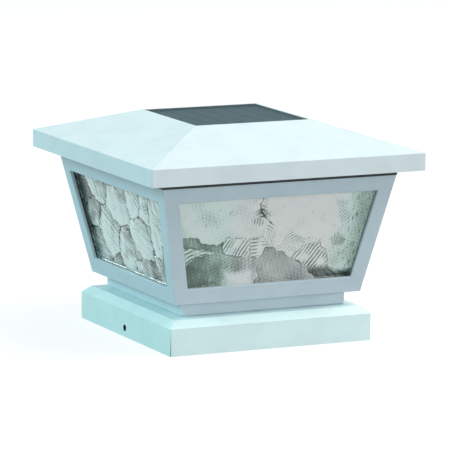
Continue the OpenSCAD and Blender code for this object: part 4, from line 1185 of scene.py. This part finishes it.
turned(lens, at_mm(*LENS_AT, 0), [
    *outer, (LENS_R, lens_seat), (LENS_FLANGE, lens_seat), (LENS_FLANGE, lens_top),
    (LENS_R - LENS_T, lens_top), *inner, (0, lens_foot + LENS_T)], 64)
made("ringed_lens", lens, [frosted], "roof", "lens_plastic", "led_lens")


# ---- Battery and its contacts ----
# One rechargeable cell in a shrunk plastic wrap, with a steel nub and a flat steel end. A
# tapered spring presses on the flat end and a plate takes the nub. Both are nickel plated.
wrap = plain_look("shrunk green wrap", 120.0, (0.035, 0.20, 0.08), (0.05, 0.26, 0.11), (260.0, 0.2, 0.34),
                  grain=(140.0, 3.0, 0.1, 0.3))
cell_low, cell_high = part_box("battery")
CELL_R, CELL_L = (cell_high[2] - cell_low[2]) / 2 / MM, (cell_high[0] - cell_low[0]) / MM
cell = bmesh.new()
turned(cell, standing(loose_parts("battery")[0], (1, 0, 0)) @ Matrix.Scale(MM, 4), [
    (0, 0, 1), (CELL_R - 1.4, 0, 1), (CELL_R - 1.0, 0.15), (CELL_R - 0.8, 0.0), (CELL_R - 0.2, 0.15),
    (CELL_R, 0.6), (CELL_R, CELL_L - 3.4), (CELL_R - 0.25, CELL_L - 2.9), (CELL_R, CELL_L - 2.4),
    (CELL_R, CELL_L - 1.6), (CELL_R - 0.3, CELL_L - 1.1), (CELL_R - 1.3, CELL_L - 1.0),
    (CELL_R - 1.5, CELL_L - 1.15, 1), (2.7, CELL_L - 1.15, 1), (2.6, CELL_L - 0.25, 1), (2.3, CELL_L, 1),
    (0, CELL_L, 1)], 56)
made("wrapped_cell", cell, [wrap, bright_zinc], "roof", "cell_wrap", "battery")

nickel = plain_look("nickel plate", 350.0, (0.62, 0.60, 0.55), (0.74, 0.72, 0.67),
                    (700.0, 0.2, 0.34), METAL)
eased("plus_contact", "contact_plate", "roof", "contact_metal", nickel, 0.12, 2)

CONTACT_T, CONTACT_WIDE, CONTACT_TALL, TAB_WIDE, WIRE_R = 0.5, 9.0, 11.0, 4.0, 0.35
spring_low, spring_high = [Vector(corner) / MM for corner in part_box("contact_spring")]
left = spring_low.x
middle_y, middle_z = (cell_low[1] + cell_high[1]) / 2 / MM, (cell_low[2] + cell_high[2]) / 2 / MM
plate = bmesh.new()
slab_between(plate, (left, middle_y - CONTACT_WIDE / 2, middle_z - CONTACT_TALL / 2),
             (left + CONTACT_T, middle_y + CONTACT_WIDE / 2, middle_z + CONTACT_TALL / 2))
slab_between(plate, (left, middle_y - TAB_WIDE / 2, middle_z + CONTACT_TALL / 2 - 0.2),
             (left + CONTACT_T, middle_y + TAB_WIDE / 2, spring_high.z))
made("minus_contact", plate, [nickel], "roof", "contact_metal", ease=0.12)
spring_foot = at_mm(left + CONTACT_T + WIRE_R, middle_y, middle_z, Matrix.Rotation(math.pi / 2, 4, "Y"))
grow("coil_spring", [spring_foot], spiral_tree, "roof", "contact_metal", "contact_spring", turns=4.0,
     foot_r=4.6, tip_r=2.2, length=spring_high.x - left - CONTACT_T - 2 * WIRE_R, wire_r=WIRE_R, steps=24,
     finish=nickel)


# ---- Switch ----
# A small slide switch on the case's floor, with three blue leads up to the board. Its knob
# comes out through the slot and has a ridged tab for the finger.
blue = plain_look("blue insulation", 600.0, (0.02, 0.06, 0.26), (0.03, 0.085, 0.34), (400.0, 0.30, 0.42))
eased("switch_shell", "switch_body", "roof", "black_plastic", black_plastic, 0.2, 2)
leads("switch_wires", "switch_leads", "lead_blue", blue, 0.58, 0.5)
eased("ridged_knob", "switch_knob", "switch_knob", "black_plastic", black_plastic, 0.15, 1.5)


# ---- Battery door ----
# A moulded cover of the same white plastic that plugs the bay's mouth, with two saddles under
# the cell and a notch for the finger.
eased("moulded_door", "battery_door", "battery_door", "white_plastic", white_plastic, 0.35, 4)
